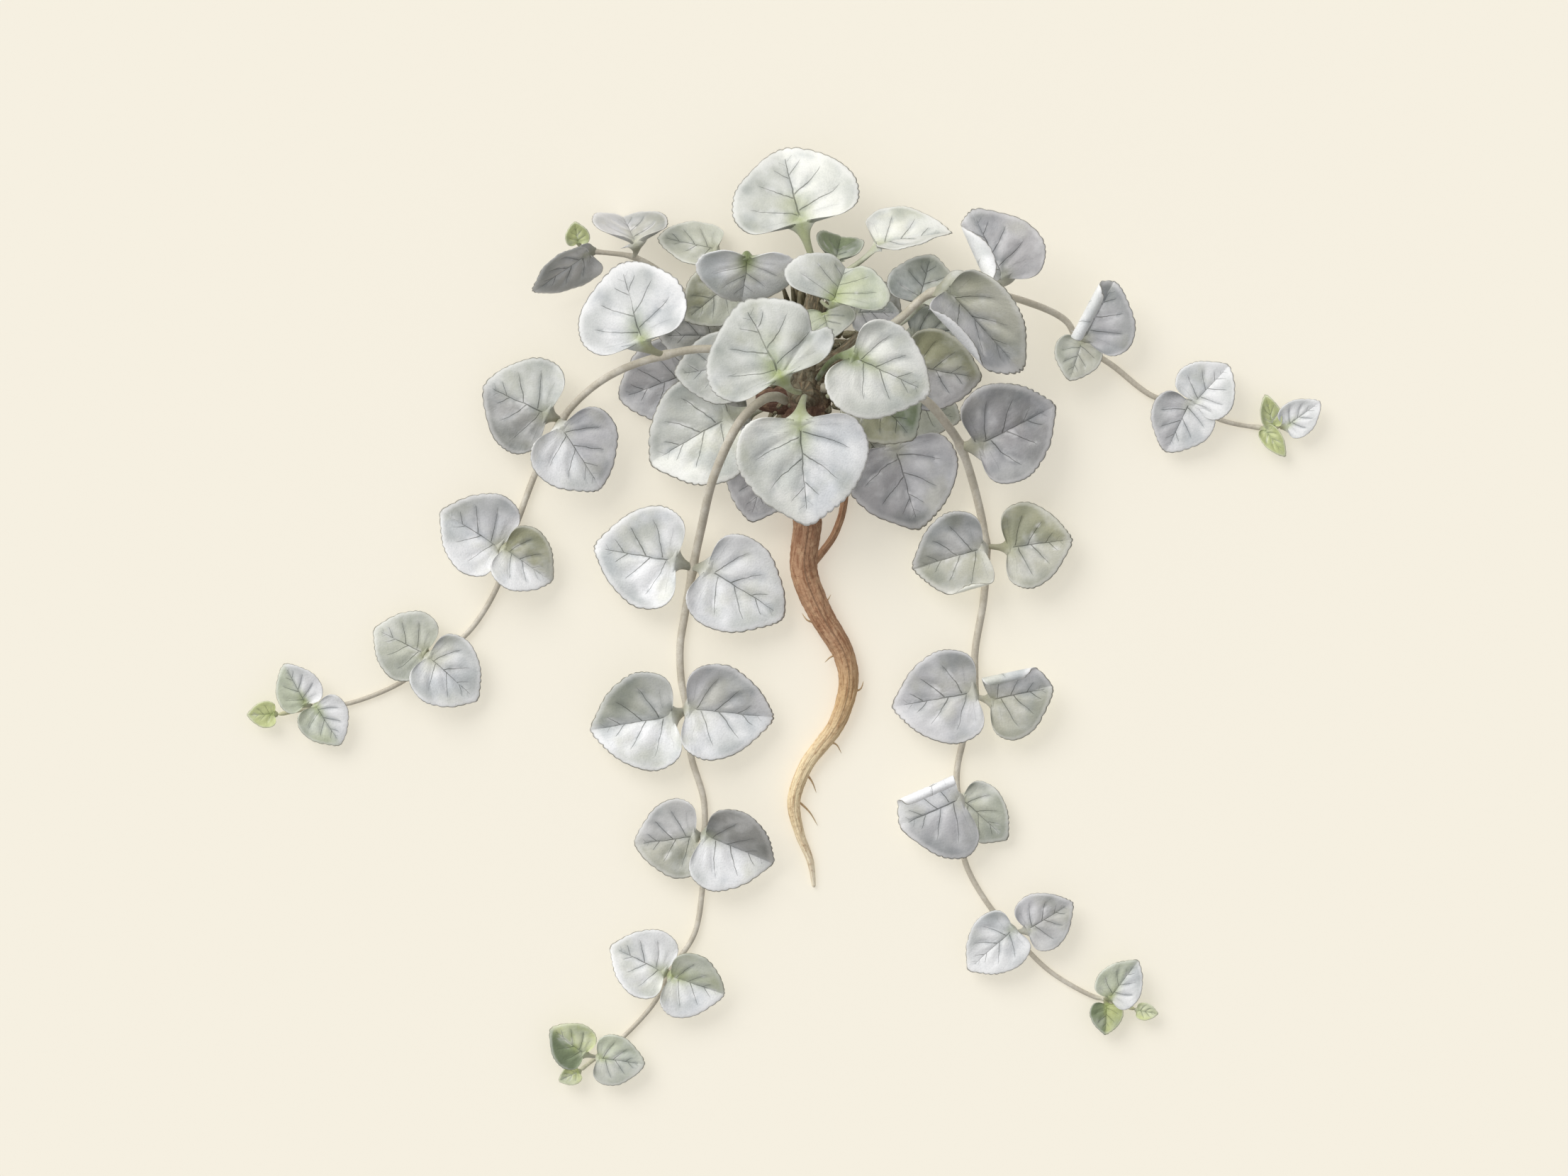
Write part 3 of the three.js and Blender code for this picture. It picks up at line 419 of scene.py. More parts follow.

# Dead stalks that fill the crown between the living ones: how many, the middle and half sizes of the patch
# where they stand, how high they reach in its middle, how far they lean outwards and to any side, their radii
# and the two colours that theirs lie between, a dark olive that is partly painted shade in the crown's gaps.
OLD_STALKS = 130
OLD_PATCH = ((0, 8, 2.5), (11, 15, 1))
OLD_HEIGHT = 12
OLD_LEAN = 4
OLD_SWAY = 1.5
OLD_RADII = [1, 0.85, 0.5]
DEAD_AND_SHADE_COLOURS = ((0.48, 0.47, 0.39), (0.63, 0.62, 0.52))


def linear(colour):
    """Linear light of a colour given as it looks on a screen: c / 12.92 below 0.04045, else a 2.4 power."""
    c = np.asarray(colour, float)
    return np.where(c <= 0.04045, c / 12.92, ((c + 0.055) / 1.055) ** 2.4)


def light_of(name):
    return linear(PAINTS[name])


def mixed(colour, other, share):
    """A colour taken towards another by a share of the way."""
    return colour + (other - colour) * share


def turns(sides):
    """Even steps once round, in radians."""
    return np.arange(sides) * 2 * math.pi / sides


def way_along(path):
    """How far along a path each of its points lies."""
    return np.append(0, np.cumsum(np.linalg.norm(np.diff(path, axis=0), axis=1)))


def unit(vectors):
    return vectors / np.linalg.norm(vectors, axis=-1, keepdims=True)


def smooth_line(points, count):
    """A curve through the points, at even steps of its parameter.

    Each stretch is the cubic whose slopes at its two ends follow from the neighbouring points, weighted by
    the square roots of their distances. The first and last points are mirrored to give end slopes.
    """
    p = np.asarray(points, float)
    p = np.vstack([2 * p[0] - p[1], p, 2 * p[-1] - p[-2]])
    gap = np.sqrt(np.linalg.norm(np.diff(p, axis=0), axis=1))[:, None]
    place = np.linspace(0, len(points) - 1, count)
    i = np.minimum(place.astype(int), len(points) - 2)
    t = (place - i)[:, None]
    a, b, c, d = p[i], p[i + 1], p[i + 2], p[i + 3]
    before, here, after = gap[i], gap[i + 1], gap[i + 2]
    start = here * ((b - a) / before - (c - a) / (before + here) + (c - b) / here)
    end = here * ((c - b) / here - (d - b) / (here + after) + (d - c) / after)
    return b + start * t + (3 * (c - b) - 2 * start - end) * t**2 + (2 * (b - c) + start + end) * t**3


def spread(values, count):
    """The values, spread evenly over that many places and joined by straight lines."""
    return np.interp(np.linspace(0, len(values) - 1, count), np.arange(len(values)), values)


class Mesh:
    """Points and faces that are gathered for one piece, with what its finishes read at each point."""

    def __init__(self):
        self.points, self.faces, self.materials = [], [], []
        self.uv, self.paint, self.rim = [], [], []
        self.count = 0

    def add(self, points, faces, material, uv, paint, rim=0.0):
        """Adds a closed shell. Faces are lists of point numbers; uv, paint and rim go point by point."""
        number = len(points)
        self.points.append(points)
        self.faces += [face + self.count for face in faces]
        self.materials.append(np.full(sum(len(face) for face in faces), material))
        self.uv.append(np.broadcast_to(uv, (number, 2)))
        self.paint.append(np.broadcast_to(paint, (number, 3)))
        self.rim.append(np.broadcast_to(rim, number))
        self.count += number

    def piece(self, name, materials, slot, *nodes):
        """Makes the object, which rides on the plant's only body and stands for the given solids."""
        mesh = bpy.data.meshes.new(name)
        faces = [face for group in self.faces for face in group.tolist()]
        points = np.vstack(self.points)
        points[:, 2] = np.maximum(points[:, 2], LOWEST)
        mesh.from_pydata(points * MM, [], faces)
        mesh.polygons.foreach_set("material_index", np.concatenate(self.materials).astype(np.int32))
        corner = np.empty(len(mesh.loops), np.int32)
        mesh.loops.foreach_get("vertex_index", corner)
        mesh.uv_layers.new(name="blade").data.foreach_set("uv", np.vstack(self.uv)[corner].ravel())
        paint = np.hstack([np.vstack(self.paint), np.ones((self.count, 1))])
        mesh.color_attributes.new("paint", "FLOAT_COLOR", "POINT").data.foreach_set("color", paint.ravel())
        mesh.attributes.new("rim", "FLOAT", "POINT").data.foreach_set("value", np.concatenate(self.rim))
        for material in materials:
            mesh.materials.append(material)
        mesh.shade_smooth()
        mesh.update()
        thing = bpy.data.objects.new(name, mesh)
        bpy.context.scene.collection.objects.link(thing)
        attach(thing, "root")
        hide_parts(*nodes)


def tube(path, width, height, reference, sides):
    """A closed tube: at each point of the path an ellipse across it, width along the reference, height up.

    The section's first axis is the reference made square to the path, and its second is square to both.
    The ends are closed by a point each. Gives the points, the faces, and how far round and along each is.
    """
    tangent = unit(np.gradient(path, axis=0))
    reference = np.broadcast_to(np.asarray(reference, float), path.shape)
    first = unit(reference - (reference * tangent).sum(1, keepdims=True) * tangent)
    second = np.cross(tangent, first)
    turn = turns(sides)
    width, height = (size[:, None] if size.ndim == 1 else size for size in (width, height))
    rings = (
        path[:, None]
        + (width * np.cos(turn))[..., None] * first[:, None]
        + (height * np.sin(turn))[..., None] * second[:, None]
    )
    count = len(path)
    number = np.arange(count * sides).reshape(count, sides)
    following = np.roll(number, -1, axis=1)
    walls = np.stack([number[:-1], following[:-1], following[1:], number[1:]], -1).reshape(-1, 4)
    start, end = count * sides, count * sides + 1
    first_cap = np.stack([np.full(sides, start), following[0], number[0]], -1)
    last_cap = np.stack([np.full(sides, end), number[-1], following[-1]], -1)
    points = np.vstack([rings.reshape(-1, 3), path[:1], path[-1:]])
    along = way_along(path)
    around = np.tile(turn, count)
    uv = np.stack([np.append(around, [0, 0]), np.append(np.repeat(along, sides), [0, along[-1]])], -1)
    return points, [walls, first_cap, last_cap], uv


def tube_paint(colours, sides):
    """A colour for each point of a tube, from one for each point of its path."""
    return np.vstack([np.repeat(colours, sides, axis=0), colours[:1], colours[-1:]])


class Leaf:
    """One leaf's place and form, from its row of a table: its frame of across, midrib and up, its folds and
    spreads, its pleat or curl, its paints and how green its foot is."""

    def __init__(self, paints, green, foot, base, heading, pitch, roll, length, wide, left, right,
                 bend=USUAL_BEND, arch=USUAL_ARCH, left_spread=BLADE_SPREAD, right_spread=BLADE_SPREAD,
                 pleat=None, pale=False, curl=None):
        self.paints, self.green = [light_of(name) for name in paints.split("/")], green
        self.foot, self.base = np.array(foot, float), np.array(base, float)
        self.phase, self.length, self.wide = heading, length, wide
        self.left, self.right, self.bend, self.arch = np.radians([left, right, bend, arch])
        self.spreads = np.radians([left_spread, right_spread])
        self.pleat = pleat or (0, 1, 0, 0)
        self.pale = pale
        self.under = CURLED_UNDERSIDE if curl else UNDERSIDE
        side, fold, start, turned = curl or (0, 0, 1, 0)
        self.curl_side, self.curl_start = side, start * length
        self.curl = math.radians(turned) / ((CURL_REACH - start) * length)
        if side < 0:
            self.left = math.radians(fold)
        elif side > 0:
            self.right = math.radians(fold)
        h, p, r = np.radians([heading, pitch, roll])
        midrib = np.array([math.cos(p) * math.cos(h), math.cos(p) * math.sin(h), math.sin(p)])
        level = np.array([math.sin(h), -math.cos(h), 0])
        across = level * math.cos(r) - np.cross(midrib, level) * math.sin(r)
        self.axes = np.stack([across, midrib, np.cross(across, midrib)])
        self.stalk = STALK_RADIUS * min(max(length / FULL_LEAF, THIN_STALK), 1)

    def place(self, points):
        """Points of the leaf's own frame, in the plant's."""
        return self.base + points @ self.axes

    def angle(self, turn):
        """The angle from the midrib at a turn from -1, the left end of the margin, to 1, the right end."""
        return turn * np.where(turn < 0, self.spreads[0], self.spreads[1])


def outline(leaf, turn):
    """How far the margin lies from the stalk's end, for a blade one unit long, at a turn from -1 to 1.

    It falls off evenly from the tip to the back lobes, blunted at the tip, and drops into the notch as a
    high power of the turn. A pleat cuts into it as a bell.
    """
    share = np.abs(turn)
    softened = np.hypot(share, TIP_ROUNDING) - TIP_ROUNDING
    smooth = 1 - LOBE_TAPER * softened - NOTCH_DEPTH * share**NOTCH_POWER
    return smooth * (1 - leaf.pleat[2] * pleat_bell(leaf, turn))


def pleat_bell(leaf, turn):
    """A bell across the pleat: 1 along its line, falling off with the square of the angle from it."""
    return np.exp(-(((np.degrees(leaf.angle(turn)) - leaf.pleat[0]) / leaf.pleat[1]) ** 2))


def flat_blade(leaf, turn, share):
    """Across and along of a flat blade one unit long: polar about the stalk's end, tapered to the tip."""
    reach = outline(leaf, turn) * share
    along = reach * np.cos(leaf.angle(turn))
    return reach * np.sin(leaf.angle(turn)) * (1 - TIP_TAPER * np.clip(along, 0, None) ** 3), along


def teeth(leaf, turn, count):
    """Round teeth with sharp notches between them: the root of a sine's size, uneven in width and depth."""
    uneven = turn + 0.03 * np.sin(7 * turn + leaf.phase) + 0.012 * np.sin(17 * turn + 2 * leaf.phase)
    swing = np.abs(np.sin(uneven * count * math.pi / 2))
    size = 1 + 0.45 * np.sin(11 * turn + 2 * leaf.phase)
    return (swing**0.7 - 0.6) * size + 0.3 * np.sin(23 * turn + leaf.phase)


def furrows(across, along, width):
    """A bell round every vein of a unit blade, 1 on the vein, that fades towards the vein's ends."""
    x = np.abs(across)
    depth = np.exp(-((across / width) ** 2)) * np.clip((MIDRIB_END - along) * 4, 0, 1)
    for start, slope, curve, begin, end, strength in SIDE_VEINS:
        gap = (along - start - slope * x - curve * x**2) / math.hypot(1, slope)
        shown = strength * np.clip((end - x) * 10, 0, 1) * np.clip((x - begin) * 20 + 1, 0, 1)
        depth = np.maximum(depth, shown * np.exp(-((gap / width) ** 2)))
    return depth


def blade_points(leaf, turn, share, tooth):
    """Points of the blade's middle sheet and the way that its upper face looks there.

    Each half rises from the midrib at its fold angle and arches towards the margin as a circle does, and a
    curled half goes over into a second, tighter circle. The midrib bends as an arc, and the margin ripples
    and turns up a little. The blade swells between its veins, which lie in furrows, and the sheet dips to
    its stalk.
    """
    flat, forward = flat_blade(leaf, turn, share)
    grown = leaf.length * (1 + tooth * share**6)
    angle = leaf.angle(turn)
    side = np.sign(angle)
    across, along = np.abs(flat) * grown * leaf.wide, forward * grown
    fold = np.where(side < 0, leaf.left, leaf.right)
    arch = leaf.arch / (HALF_WIDTH * leaf.length)
    curled = (side == leaf.curl_side) & (leaf.curl_side != 0)
    straight = np.where(curled, np.minimum(across, leaf.curl_start), across)
    begun = fold + arch * straight
    rolled = np.where(curled, leaf.curl, 1)
    slope = begun + rolled * (across - straight)
    out = (np.sin(begun) - np.sin(fold)) / arch + (np.sin(slope) - np.sin(begun)) / rolled
    raised = (np.cos(fold) - np.cos(begun)) / arch + (np.cos(begun) - np.cos(slope)) / rolled
    wave = RIPPLE * share**2 * np.cos(RIPPLE_RATE * angle + leaf.phase)
    wave = wave + COCKLE * share**3 * np.cos(13 * angle + 3 * leaf.phase)
    wave = wave + CUP * share**3 - ROLL * share**16 - HOLLOW * np.sin(math.pi * share) * np.abs(np.sin(angle))
    relief = QUILT * furrows(flat, forward, QUILT_WIDTH) + GROOVE * furrows(flat, forward, GROOVE_WIDTH)
    relief = relief * np.clip(share * 6, 0, 1) * (1 - share**12)
    funnel = FUNNEL_DEPTH * np.exp(-((outline(leaf, turn) * share / FUNNEL_WIDTH) ** 2))
    pleat = leaf.pleat[3] * pleat_bell(leaf, turn) * share
    wave = np.where(curled, CURL_CALM, 1) * (wave - relief)
    lift = raised + leaf.length * (wave - funnel - pleat)
    radius = leaf.length / leaf.bend
    sine, cosine = np.sin(along / radius), np.cos(along / radius)
    points = np.stack([side * out, (radius - lift) * sine, radius * (1 - cosine) + lift * cosine], -1)
    faces_to = np.stack([-side * np.sin(slope), -np.cos(slope) * sine, np.cos(slope) * cosine], -1)
    return points, faces_to


def blade_paint(leaf, across, along, upper=True):
    """The blade's colour: a paint on each half, a green or olive streak that fades from the stalk's end along
    the midrib, a deep green funnel that is partly painted shade where the table's green is above 1, and all
    of it darker underneath."""
    side = 0.5 + 0.5 * np.tanh(across * HALVES_MEET)
    colour = mixed(*leaf.paints, side[..., None])
    green = min(leaf.green, 1)
    tint = light_of("thin_stalk") * (1 - green) + light_of("sap") * green
    share = max(green, 0.6) * np.exp(-((np.hypot(across * 1.9, along * (1.6 - green)) / STREAK_REACH) ** 2))
    colour = mixed(colour, tint, share[..., None])
    dark = max(leaf.green - 1, 0) * np.exp(-((np.hypot(across, along) / DEEP_REACH) ** 2))
    colour = mixed(colour, light_of("deep"), dark[..., None])
    return colour if upper else np.minimum(colour * leaf.under, light_of("white"))


def add_blade(mesh, leaf):
    """Two faces of a blade that meet along its rounded margin, as a fan of rings round the stalk's end."""
    count = max(14, round(TEETH * math.sqrt(leaf.length / FULL_LEAF)))
    columns = TOOTH_COLUMNS * count + 1
    turn, share = np.meshgrid(np.linspace(-1, 1, columns), BLADE_RINGS)
    tooth = TOOTH_DEPTH * teeth(leaf, turn, count)
    middle, faces_to = blade_points(leaf, turn, share, tooth)
    half = BLADE_THICKNESS / 2 * np.sqrt(np.clip(1 - share**10, 0, 1))
    half = half * np.sqrt(np.clip((1 - np.abs(turn)) * columns / 6, 0, 1))
    rows = len(share)
    number = 1 + np.arange(rows * columns).reshape(rows, columns)
    shared = (share == 1) | (np.abs(turn) == 1)
    under = np.where(shared, number, number + rows * columns)
    centre, _ = blade_points(leaf, np.zeros(1), np.zeros(1), 0)
    points = np.vstack([
        centre,
        (middle + faces_to * half[..., None]).reshape(-1, 3),
        (middle - faces_to * half[..., None]).reshape(-1, 3),
    ])
    upper = np.stack([number[:-1, :-1], number[:-1, 1:], number[1:, 1:], number[1:, :-1]], -1).reshape(-1, 4)
    lower = np.stack([under[:-1, :-1], under[1:, :-1], under[1:, 1:], under[:-1, 1:]], -1).reshape(-1, 4)
    middle_point = np.zeros(columns - 1, int)
    fan = np.stack([middle_point, number[0, 1:], number[0, :-1]], -1)
    under_fan = np.stack([middle_point, under[0, :-1], under[0, 1:]], -1)
    across, along = flat_blade(leaf, turn, share)
    paint = np.vstack([
        blade_paint(leaf, np.zeros(1), np.zeros(1)),
        blade_paint(leaf, across, along).reshape(-1, 3),
        blade_paint(leaf, across, along, upper=False).reshape(-1, 3),
    ])
    rim = np.concatenate([[0], share.ravel(), share.ravel()]) * (PALE_RIM_SHARE if leaf.pale else 1)
    uv = np.stack([across, along], -1).reshape(-1, 2) + 0.5
    uv = np.vstack([[[0.5, 0.5]], uv, uv])
    used = np.unique(np.concatenate([group.ravel() for group in (upper, lower, fan, under_fan)]))
    renumber = np.zeros(len(points), int)
    renumber[used] = np.arange(len(used))
    faces = [renumber[group] for group in (upper, lower, fan, under_fan)]
    mesh.add(leaf.place(points[used]), faces, FELT, uv[used], paint[used], rim[used])


def add_stalk(mesh, leaf, name, fade):
    """The stalk: an arc from its foot to the blade, which it leaves backwards and down, then a ridge that
    sinks into the foot of the midrib. It widens by two exponentials as it runs into the blade, a long one
    and a short one, and its section changes there from an ellipse to a ridge with thin raised wings. Its
    paint, given by name, turns into the blade's over the given share of the blade's length."""
    reach = np.linalg.norm(leaf.foot - leaf.base)
    sweep = leaf.base + STALK_SWEEP * reach * (np.array(STALK_APPROACH) @ leaf.axes)
    t = 1 - np.linspace(1, 0, STALK_ROWS)[:, None] ** 1.6
    end = leaf.base - leaf.axes[2] * leaf.length * FUNNEL_DEPTH
    arc = (1 - t) ** 2 * leaf.foot + 2 * t * (1 - t) * sweep + t**2 * end
    inner = np.linspace(0, 1, TONGUE_ROWS + 1)[1:]
    middle, faces_to = blade_points(leaf, np.zeros(TONGUE_ROWS), inner * TONGUE, 0)
    sunk = leaf.stalk * (-0.1 - 0.35 * inner)
    path = np.vstack([arc, leaf.place(middle + faces_to * sunk[:, None])])
    steps = np.linalg.norm(np.diff(arc, axis=0), axis=1)
    before = np.append(np.cumsum(steps[::-1])[::-1], 0) / leaf.length
    near = np.append(np.exp(-before / FLARE_LENGTH), (1 - inner) ** 1.2)
    web = np.append(np.exp(-before / WEB_LENGTH), (1 - inner) ** 6)
    thick = np.append(np.ones(STALK_ROWS), 1 - 0.7 * inner)
    width = leaf.stalk * thick + leaf.length * (FLARE * near + WEB * web)
    turn = turns(TUBE_SIDES)
    round_it = np.abs(np.sin(turn)) ** (1.6 * near[:, None])
    height = (leaf.stalk * thick * (1 - 0.3 * near))[:, None] * round_it
    points, faces, _ = tube(path, width, height, leaf.axes[0], TUBE_SIDES)
    raised = leaf.length * WEB_LIFT * web[:, None] * np.cos(turn) ** 2
    points[:-2] += raised.reshape(-1, 1) * leaf.axes[2]
    across = width[:, None] * np.cos(turn) / leaf.length
    along = np.append(np.zeros(STALK_ROWS), inner * TONGUE)[:, None]
    paint = blade_paint(leaf, across, np.broadcast_to(along, across.shape))
    paint[:STALK_ROWS] = mixed(light_of(name), paint[:STALK_ROWS], np.exp(-before / fade)[:, None, None])
    paint = np.vstack([paint.reshape(-1, 3), paint[0, :1], paint[-1, :1]])
    mesh.add(points, faces, FELT, np.full((1, 2), 9.0), paint)


def add_stem(mesh, radius, stem, joints):
    """A runner's stem along its points: thinner towards the tip, rounded there, with a swelling wherever
    leaves grow, darker at its foot and greener at its tip."""
    count = STEM_RINGS * (len(stem) - 1) + 1
    place = np.linspace(0, len(stem) - 1, count)
    swelling = np.exp(-(((place[:, None] - joints) / SWELLING_LENGTH) ** 2)).sum(1)
    rounding = 1 - 0.75 * np.clip(place - place[-1] + STEM_END, 0, 1) / STEM_END
    radius = spread([radius, STEM_TIP_RADIUS], count) * (1 + SWELLING * swelling) * rounding
    points, faces, uv = tube(smooth_line(stem, count), radius, radius, (0, 0, 1), TUBE_SIDES)
    young = np.clip((place / place[-1] - 0.9) * 8, 0, 1)[:, None]
    colour = mixed(light_of("stem"), light_of("young_stem"), young)
    colour = mixed(colour, light_of("old_stem"), np.exp(-place / OLD_STEM)[:, None])
    mesh.add(points, faces, STEM, uv, tube_paint(colour, TUBE_SIDES))


def make_runner(name, radius, stem, rows, materials):
    mesh = Mesh()
    add_stem(mesh, radius, stem, np.array(sorted({row[0] for row in rows})))
    for number, (start, paints, green, *row) in enumerate(rows):
        leaf = Leaf(paints, green, stem[start], *row, curl=CURLS.get((name, number)))
        add_blade(mesh, leaf)
        add_stalk(mesh, leaf, "thin_stalk", THIN_STALK_FADE)
    mesh.piece("leafy_" + name, materials, "runner", name)


def make_crown_leaf(name, row, materials):
    mesh = Mesh()
    leaf = Leaf(*row, pleat=PLEATS.get(name), pale=name in PALE_MARGINS)
    add_blade(mesh, leaf)
    # a blade with a deep green funnel gets a stalk of that deep green, partly painted shade
    add_stalk(mesh, leaf, "deep" if leaf.green > 1 else "leaf_stalk", STALK_FADE)
    slot = "green_leaf" if name.endswith("green") else "silver_leaf"
    mesh.piece("felted_leaf_" + name, materials, slot, "crown_leaf_" + name)


def bark_waves(turn, along, waves, seed):
    """Uneven bark: a sum of sines round and along the root, each with its own rates, turn and strength."""
    rng = np.random.default_rng(seed)
    height = np.zeros(np.broadcast_shapes(turn.shape, along.shape))
    for round_rate, along_rate, strength in waves:
        for _ in range(3):
            rate = along_rate * rng.uniform(0.6, 1.5)
            lean = rng.uniform(-0.3, 0.3) * along_rate
            phase = rng.uniform(0, 2 * math.pi, 2)
            round_wave = np.sin(round_rate * turn + lean * along + phase[0])
            height += strength / 3 * round_wave * np.sin(rate * along + phase[1])
    return height


def add_root(mesh, points, radii, paints, count, sides, seed, waves=BARK_WAVES):
    """A root or woody branch with bark: the smooth line's circle, pushed out and in by the bark's waves."""
    path = smooth_line(points, count)
    along = way_along(path)[:, None]
    radius = spread(radii, count)[:, None] * (1 + bark_waves(turns(sides)[None], along, waves, seed))
    end = np.clip(np.minimum(np.arange(count), np.arange(count)[::-1]) / 3, 0, 1)[:, None]
    radius = radius * np.sqrt(1 - (1 - end) ** 2 * 0.9)
    shell, faces, uv = tube(path, radius, radius, (0, 0, 1), sides)
    stops = np.linspace(0, 1, len(paints))
    colours = np.array([light_of(name) for name in paints])
    share = along[:, 0] / along[-1, 0]
    paint = np.stack([np.interp(share, stops, channel) for channel in colours.T], -1)
    mesh.add(shell, faces, 0, uv, tube_paint(paint, sides))


def add_old_stalks(mesh):
    """Short dead stalks, spread evenly over the patch as a sunflower's seeds are, that lean outwards."""
    rng = np.random.default_rng(5)
    middle, half = np.array(OLD_PATCH, float)
    for number in range(OLD_STALKS):
        reach = math.sqrt((number + 0.5) / OLD_STALKS)
        turn = number * math.pi * (3 - math.sqrt(5))
        out = np.array([reach * math.cos(turn), reach * math.sin(turn), 0])
        foot = middle + half * out
        height = OLD_HEIGHT * (1 - 0.6 * reach**2) * rng.uniform(0.6, 1)
        lean = out * OLD_LEAN + rng.uniform(-OLD_SWAY, OLD_SWAY, 3) * [1, 1, 0]
        points = [foot, foot + [lean[0] * 0.3, lean[1] * 0.3, height * 0.6], foot + lean + [0, 0, height]]
        path = smooth_line(points, 10)
        radius = spread(OLD_RADII, 10) * rng.uniform(0.7, 1.2)
        shell, faces, uv = tube(path, radius, radius, (1, 0, 0), 8)
        # dark olive, partly the dead stalks' own colour and partly painted shade in the gaps of the crown
        mesh.add(shell, faces, 0, uv, mixed(*linear(DEAD_AND_SHADE_COLOURS), rng.uniform(0, 1)))


def make_rootstock(material):
    """The woody crown with its branches, the taproot, the side root, the rootlets and the dead stalks."""
    mesh = Mesh()
    for line in WOOD:
        add_root(mesh, *line)
    for number, points in enumerate(ROOTLETS):
        add_root(mesh, points, *ROOTLET[:-1], ROOTLET[-1] + number, ROOTLET_WAVES)
    add_old_stalks(mesh)
    mesh.piece("rootstock_with_bark", [material], "root", "crown_and_taproot")


class Finish:
    """A material and its node tree, with values for its shader, a short call for each kind of node that the
    finishes use, and the colour so far."""

    def __init__(self, name, values):
        self.material = bpy.data.materials.new(name)
        self.material.use_nodes = True
        self.tree = self.material.node_tree
        self.shader = self.tree.nodes["Principled BSDF"]
        for value_name, value in values.items():
            self.shader.inputs[value_name].default_value = value
        self.place = self.node("ShaderNodeTexCoord").outputs["Object"]
        self.colour = None

    def node(self, kind):
        return self.tree.nodes.new(kind)

    def link(self, value, socket):
        """Joins a socket to another node's output, or sets its own value."""
        if isinstance(value, bpy.types.NodeSocket):
            self.tree.links.new(value, socket)
        else:
            socket.default_value = value

    def math(self, operation, *values, clamp=False):
        node = self.node("ShaderNodeMath")
        node.operation, node.use_clamp = operation, clamp
        for value, socket in zip(values, node.inputs):
            self.link(value, socket)
        return node.outputs[0]

    def times(self, first, second, clamp=False):
        return self.math("MULTIPLY", first, second, clamp=clamp)

    def scaled(self, value, slope, start):
        return self.math("MULTIPLY_ADD", value, slope, start)

    def less(self, value, clamp=False):
        """One less the value."""
        return self.math("SUBTRACT", 1, value, clamp=clamp)

    def attribute(self, name, output):
        node = self.node("ShaderNodeAttribute")
        node.attribute_name = name
        return node.outputs[output]

    def blade_place(self):
        """Across and along of a unit blade, read back from the blade's own map."""
        node = self.node("ShaderNodeUVMap")
        node.uv_map = "blade"
        parts = self.node("ShaderNodeSeparateXYZ")
        self.link(node.outputs[0], parts.inputs[0])
        return parts.outputs[0], parts.outputs[1]

    def noise(self, scale, detail=2.0, roughness=0.5, vector=None):
        node = self.node("ShaderNodeTexNoise")
        values = {"Vector": vector or self.place, "Scale": scale, "Detail": detail, "Roughness": roughness}
        for value_name, value in values.items():
            self.link(value, node.inputs[value_name])
        return node.outputs["Fac"]

    def between(self, value, low, high):
        """How far a value has gone from low to high, smoothly, from 0 to 1."""
        node = self.node("ShaderNodeMapRange")
        node.interpolation_type = "SMOOTHSTEP"
        for value_name, source in (("From Min", low), ("From Max", high), ("Value", value)):
            self.link(source, node.inputs[value_name])
        return node.outputs[0]

    def mix(self, share, a, b, blend="MIX"):
        node = self.node("ShaderNodeMix")
        node.data_type, node.blend_type = "RGBA", blend
        self.link(share, node.inputs[0])
        self.link(a if isinstance(a, bpy.types.NodeSocket) else (*linear(a), 1), node.inputs[6])
        self.link(b if isinstance(b, bpy.types.NodeSocket) else (*linear(b), 1), node.inputs[7])
        return node.outputs[2]

    def fade(self, gap, width):
        """From 1 at a gap of nothing to 0 at the width, as a straight line."""
        return self.less(self.math("DIVIDE", gap, width), clamp=True)

    def patches(self, name):
        """Soft patches by a row of the table: a shifted noise, cut off smoothly between two levels."""
        scale, detail, shift, low, high = PATCHES[name]
        return self.between(self.noise(scale, detail, 0.5, self.shifted(shift)), low, high)

    def speckles(self, scale, low, strength):
        """A rough fine noise, and how strongly it darkens each place."""
        grain = self.noise(scale, 3, 0.7)
        return grain, self.times(self.between(grain, low, 0.7), strength)

    def wash(self, share, tint):
        """Multiplies the colour so far by a tint, by a share at each place."""
        self.colour = self.mix(share, self.colour, tint, "MULTIPLY")

    def cover(self, share, other):
        """Takes the colour so far towards another, by a share at each place."""
        self.colour = self.mix(share, self.colour, other)

    def shifted(self, amount):
        """The place on the plant, moved on, so that a second noise doesn't follow the first."""
        node = self.node("ShaderNodeMapping")
        node.inputs["Location"].default_value = (amount, amount * 0.7, amount * 1.3)
        self.link(self.place, node.inputs["Vector"])
        return node.outputs[0]

    def drawn_out(self, around, along, round_rate, along_rate):
        """A place for streaks: round the root as a circle, so that there is no seam, and slowly along it."""
        node = self.node("ShaderNodeCombineXYZ")
        self.link(self.times(self.math("COSINE", around), round_rate), node.inputs[0])
        self.link(self.times(self.math("SINE", around), round_rate), node.inputs[1])
        self.link(self.times(along, along_rate), node.inputs[2])
        return node.outputs[0]

    def surface(self, height, distance, strength):
        """Gives the shader the colour so far, and a surface raised by the height."""
        self.link(self.colour, self.shader.inputs["Base Color"])
        node = self.node("ShaderNodeBump")
        for value_name, value in (("Strength", strength), ("Distance", distance), ("Height", height)):
            self.link(value, node.inputs[value_name])
        self.link(node.outputs[0], self.shader.inputs["Normal"])


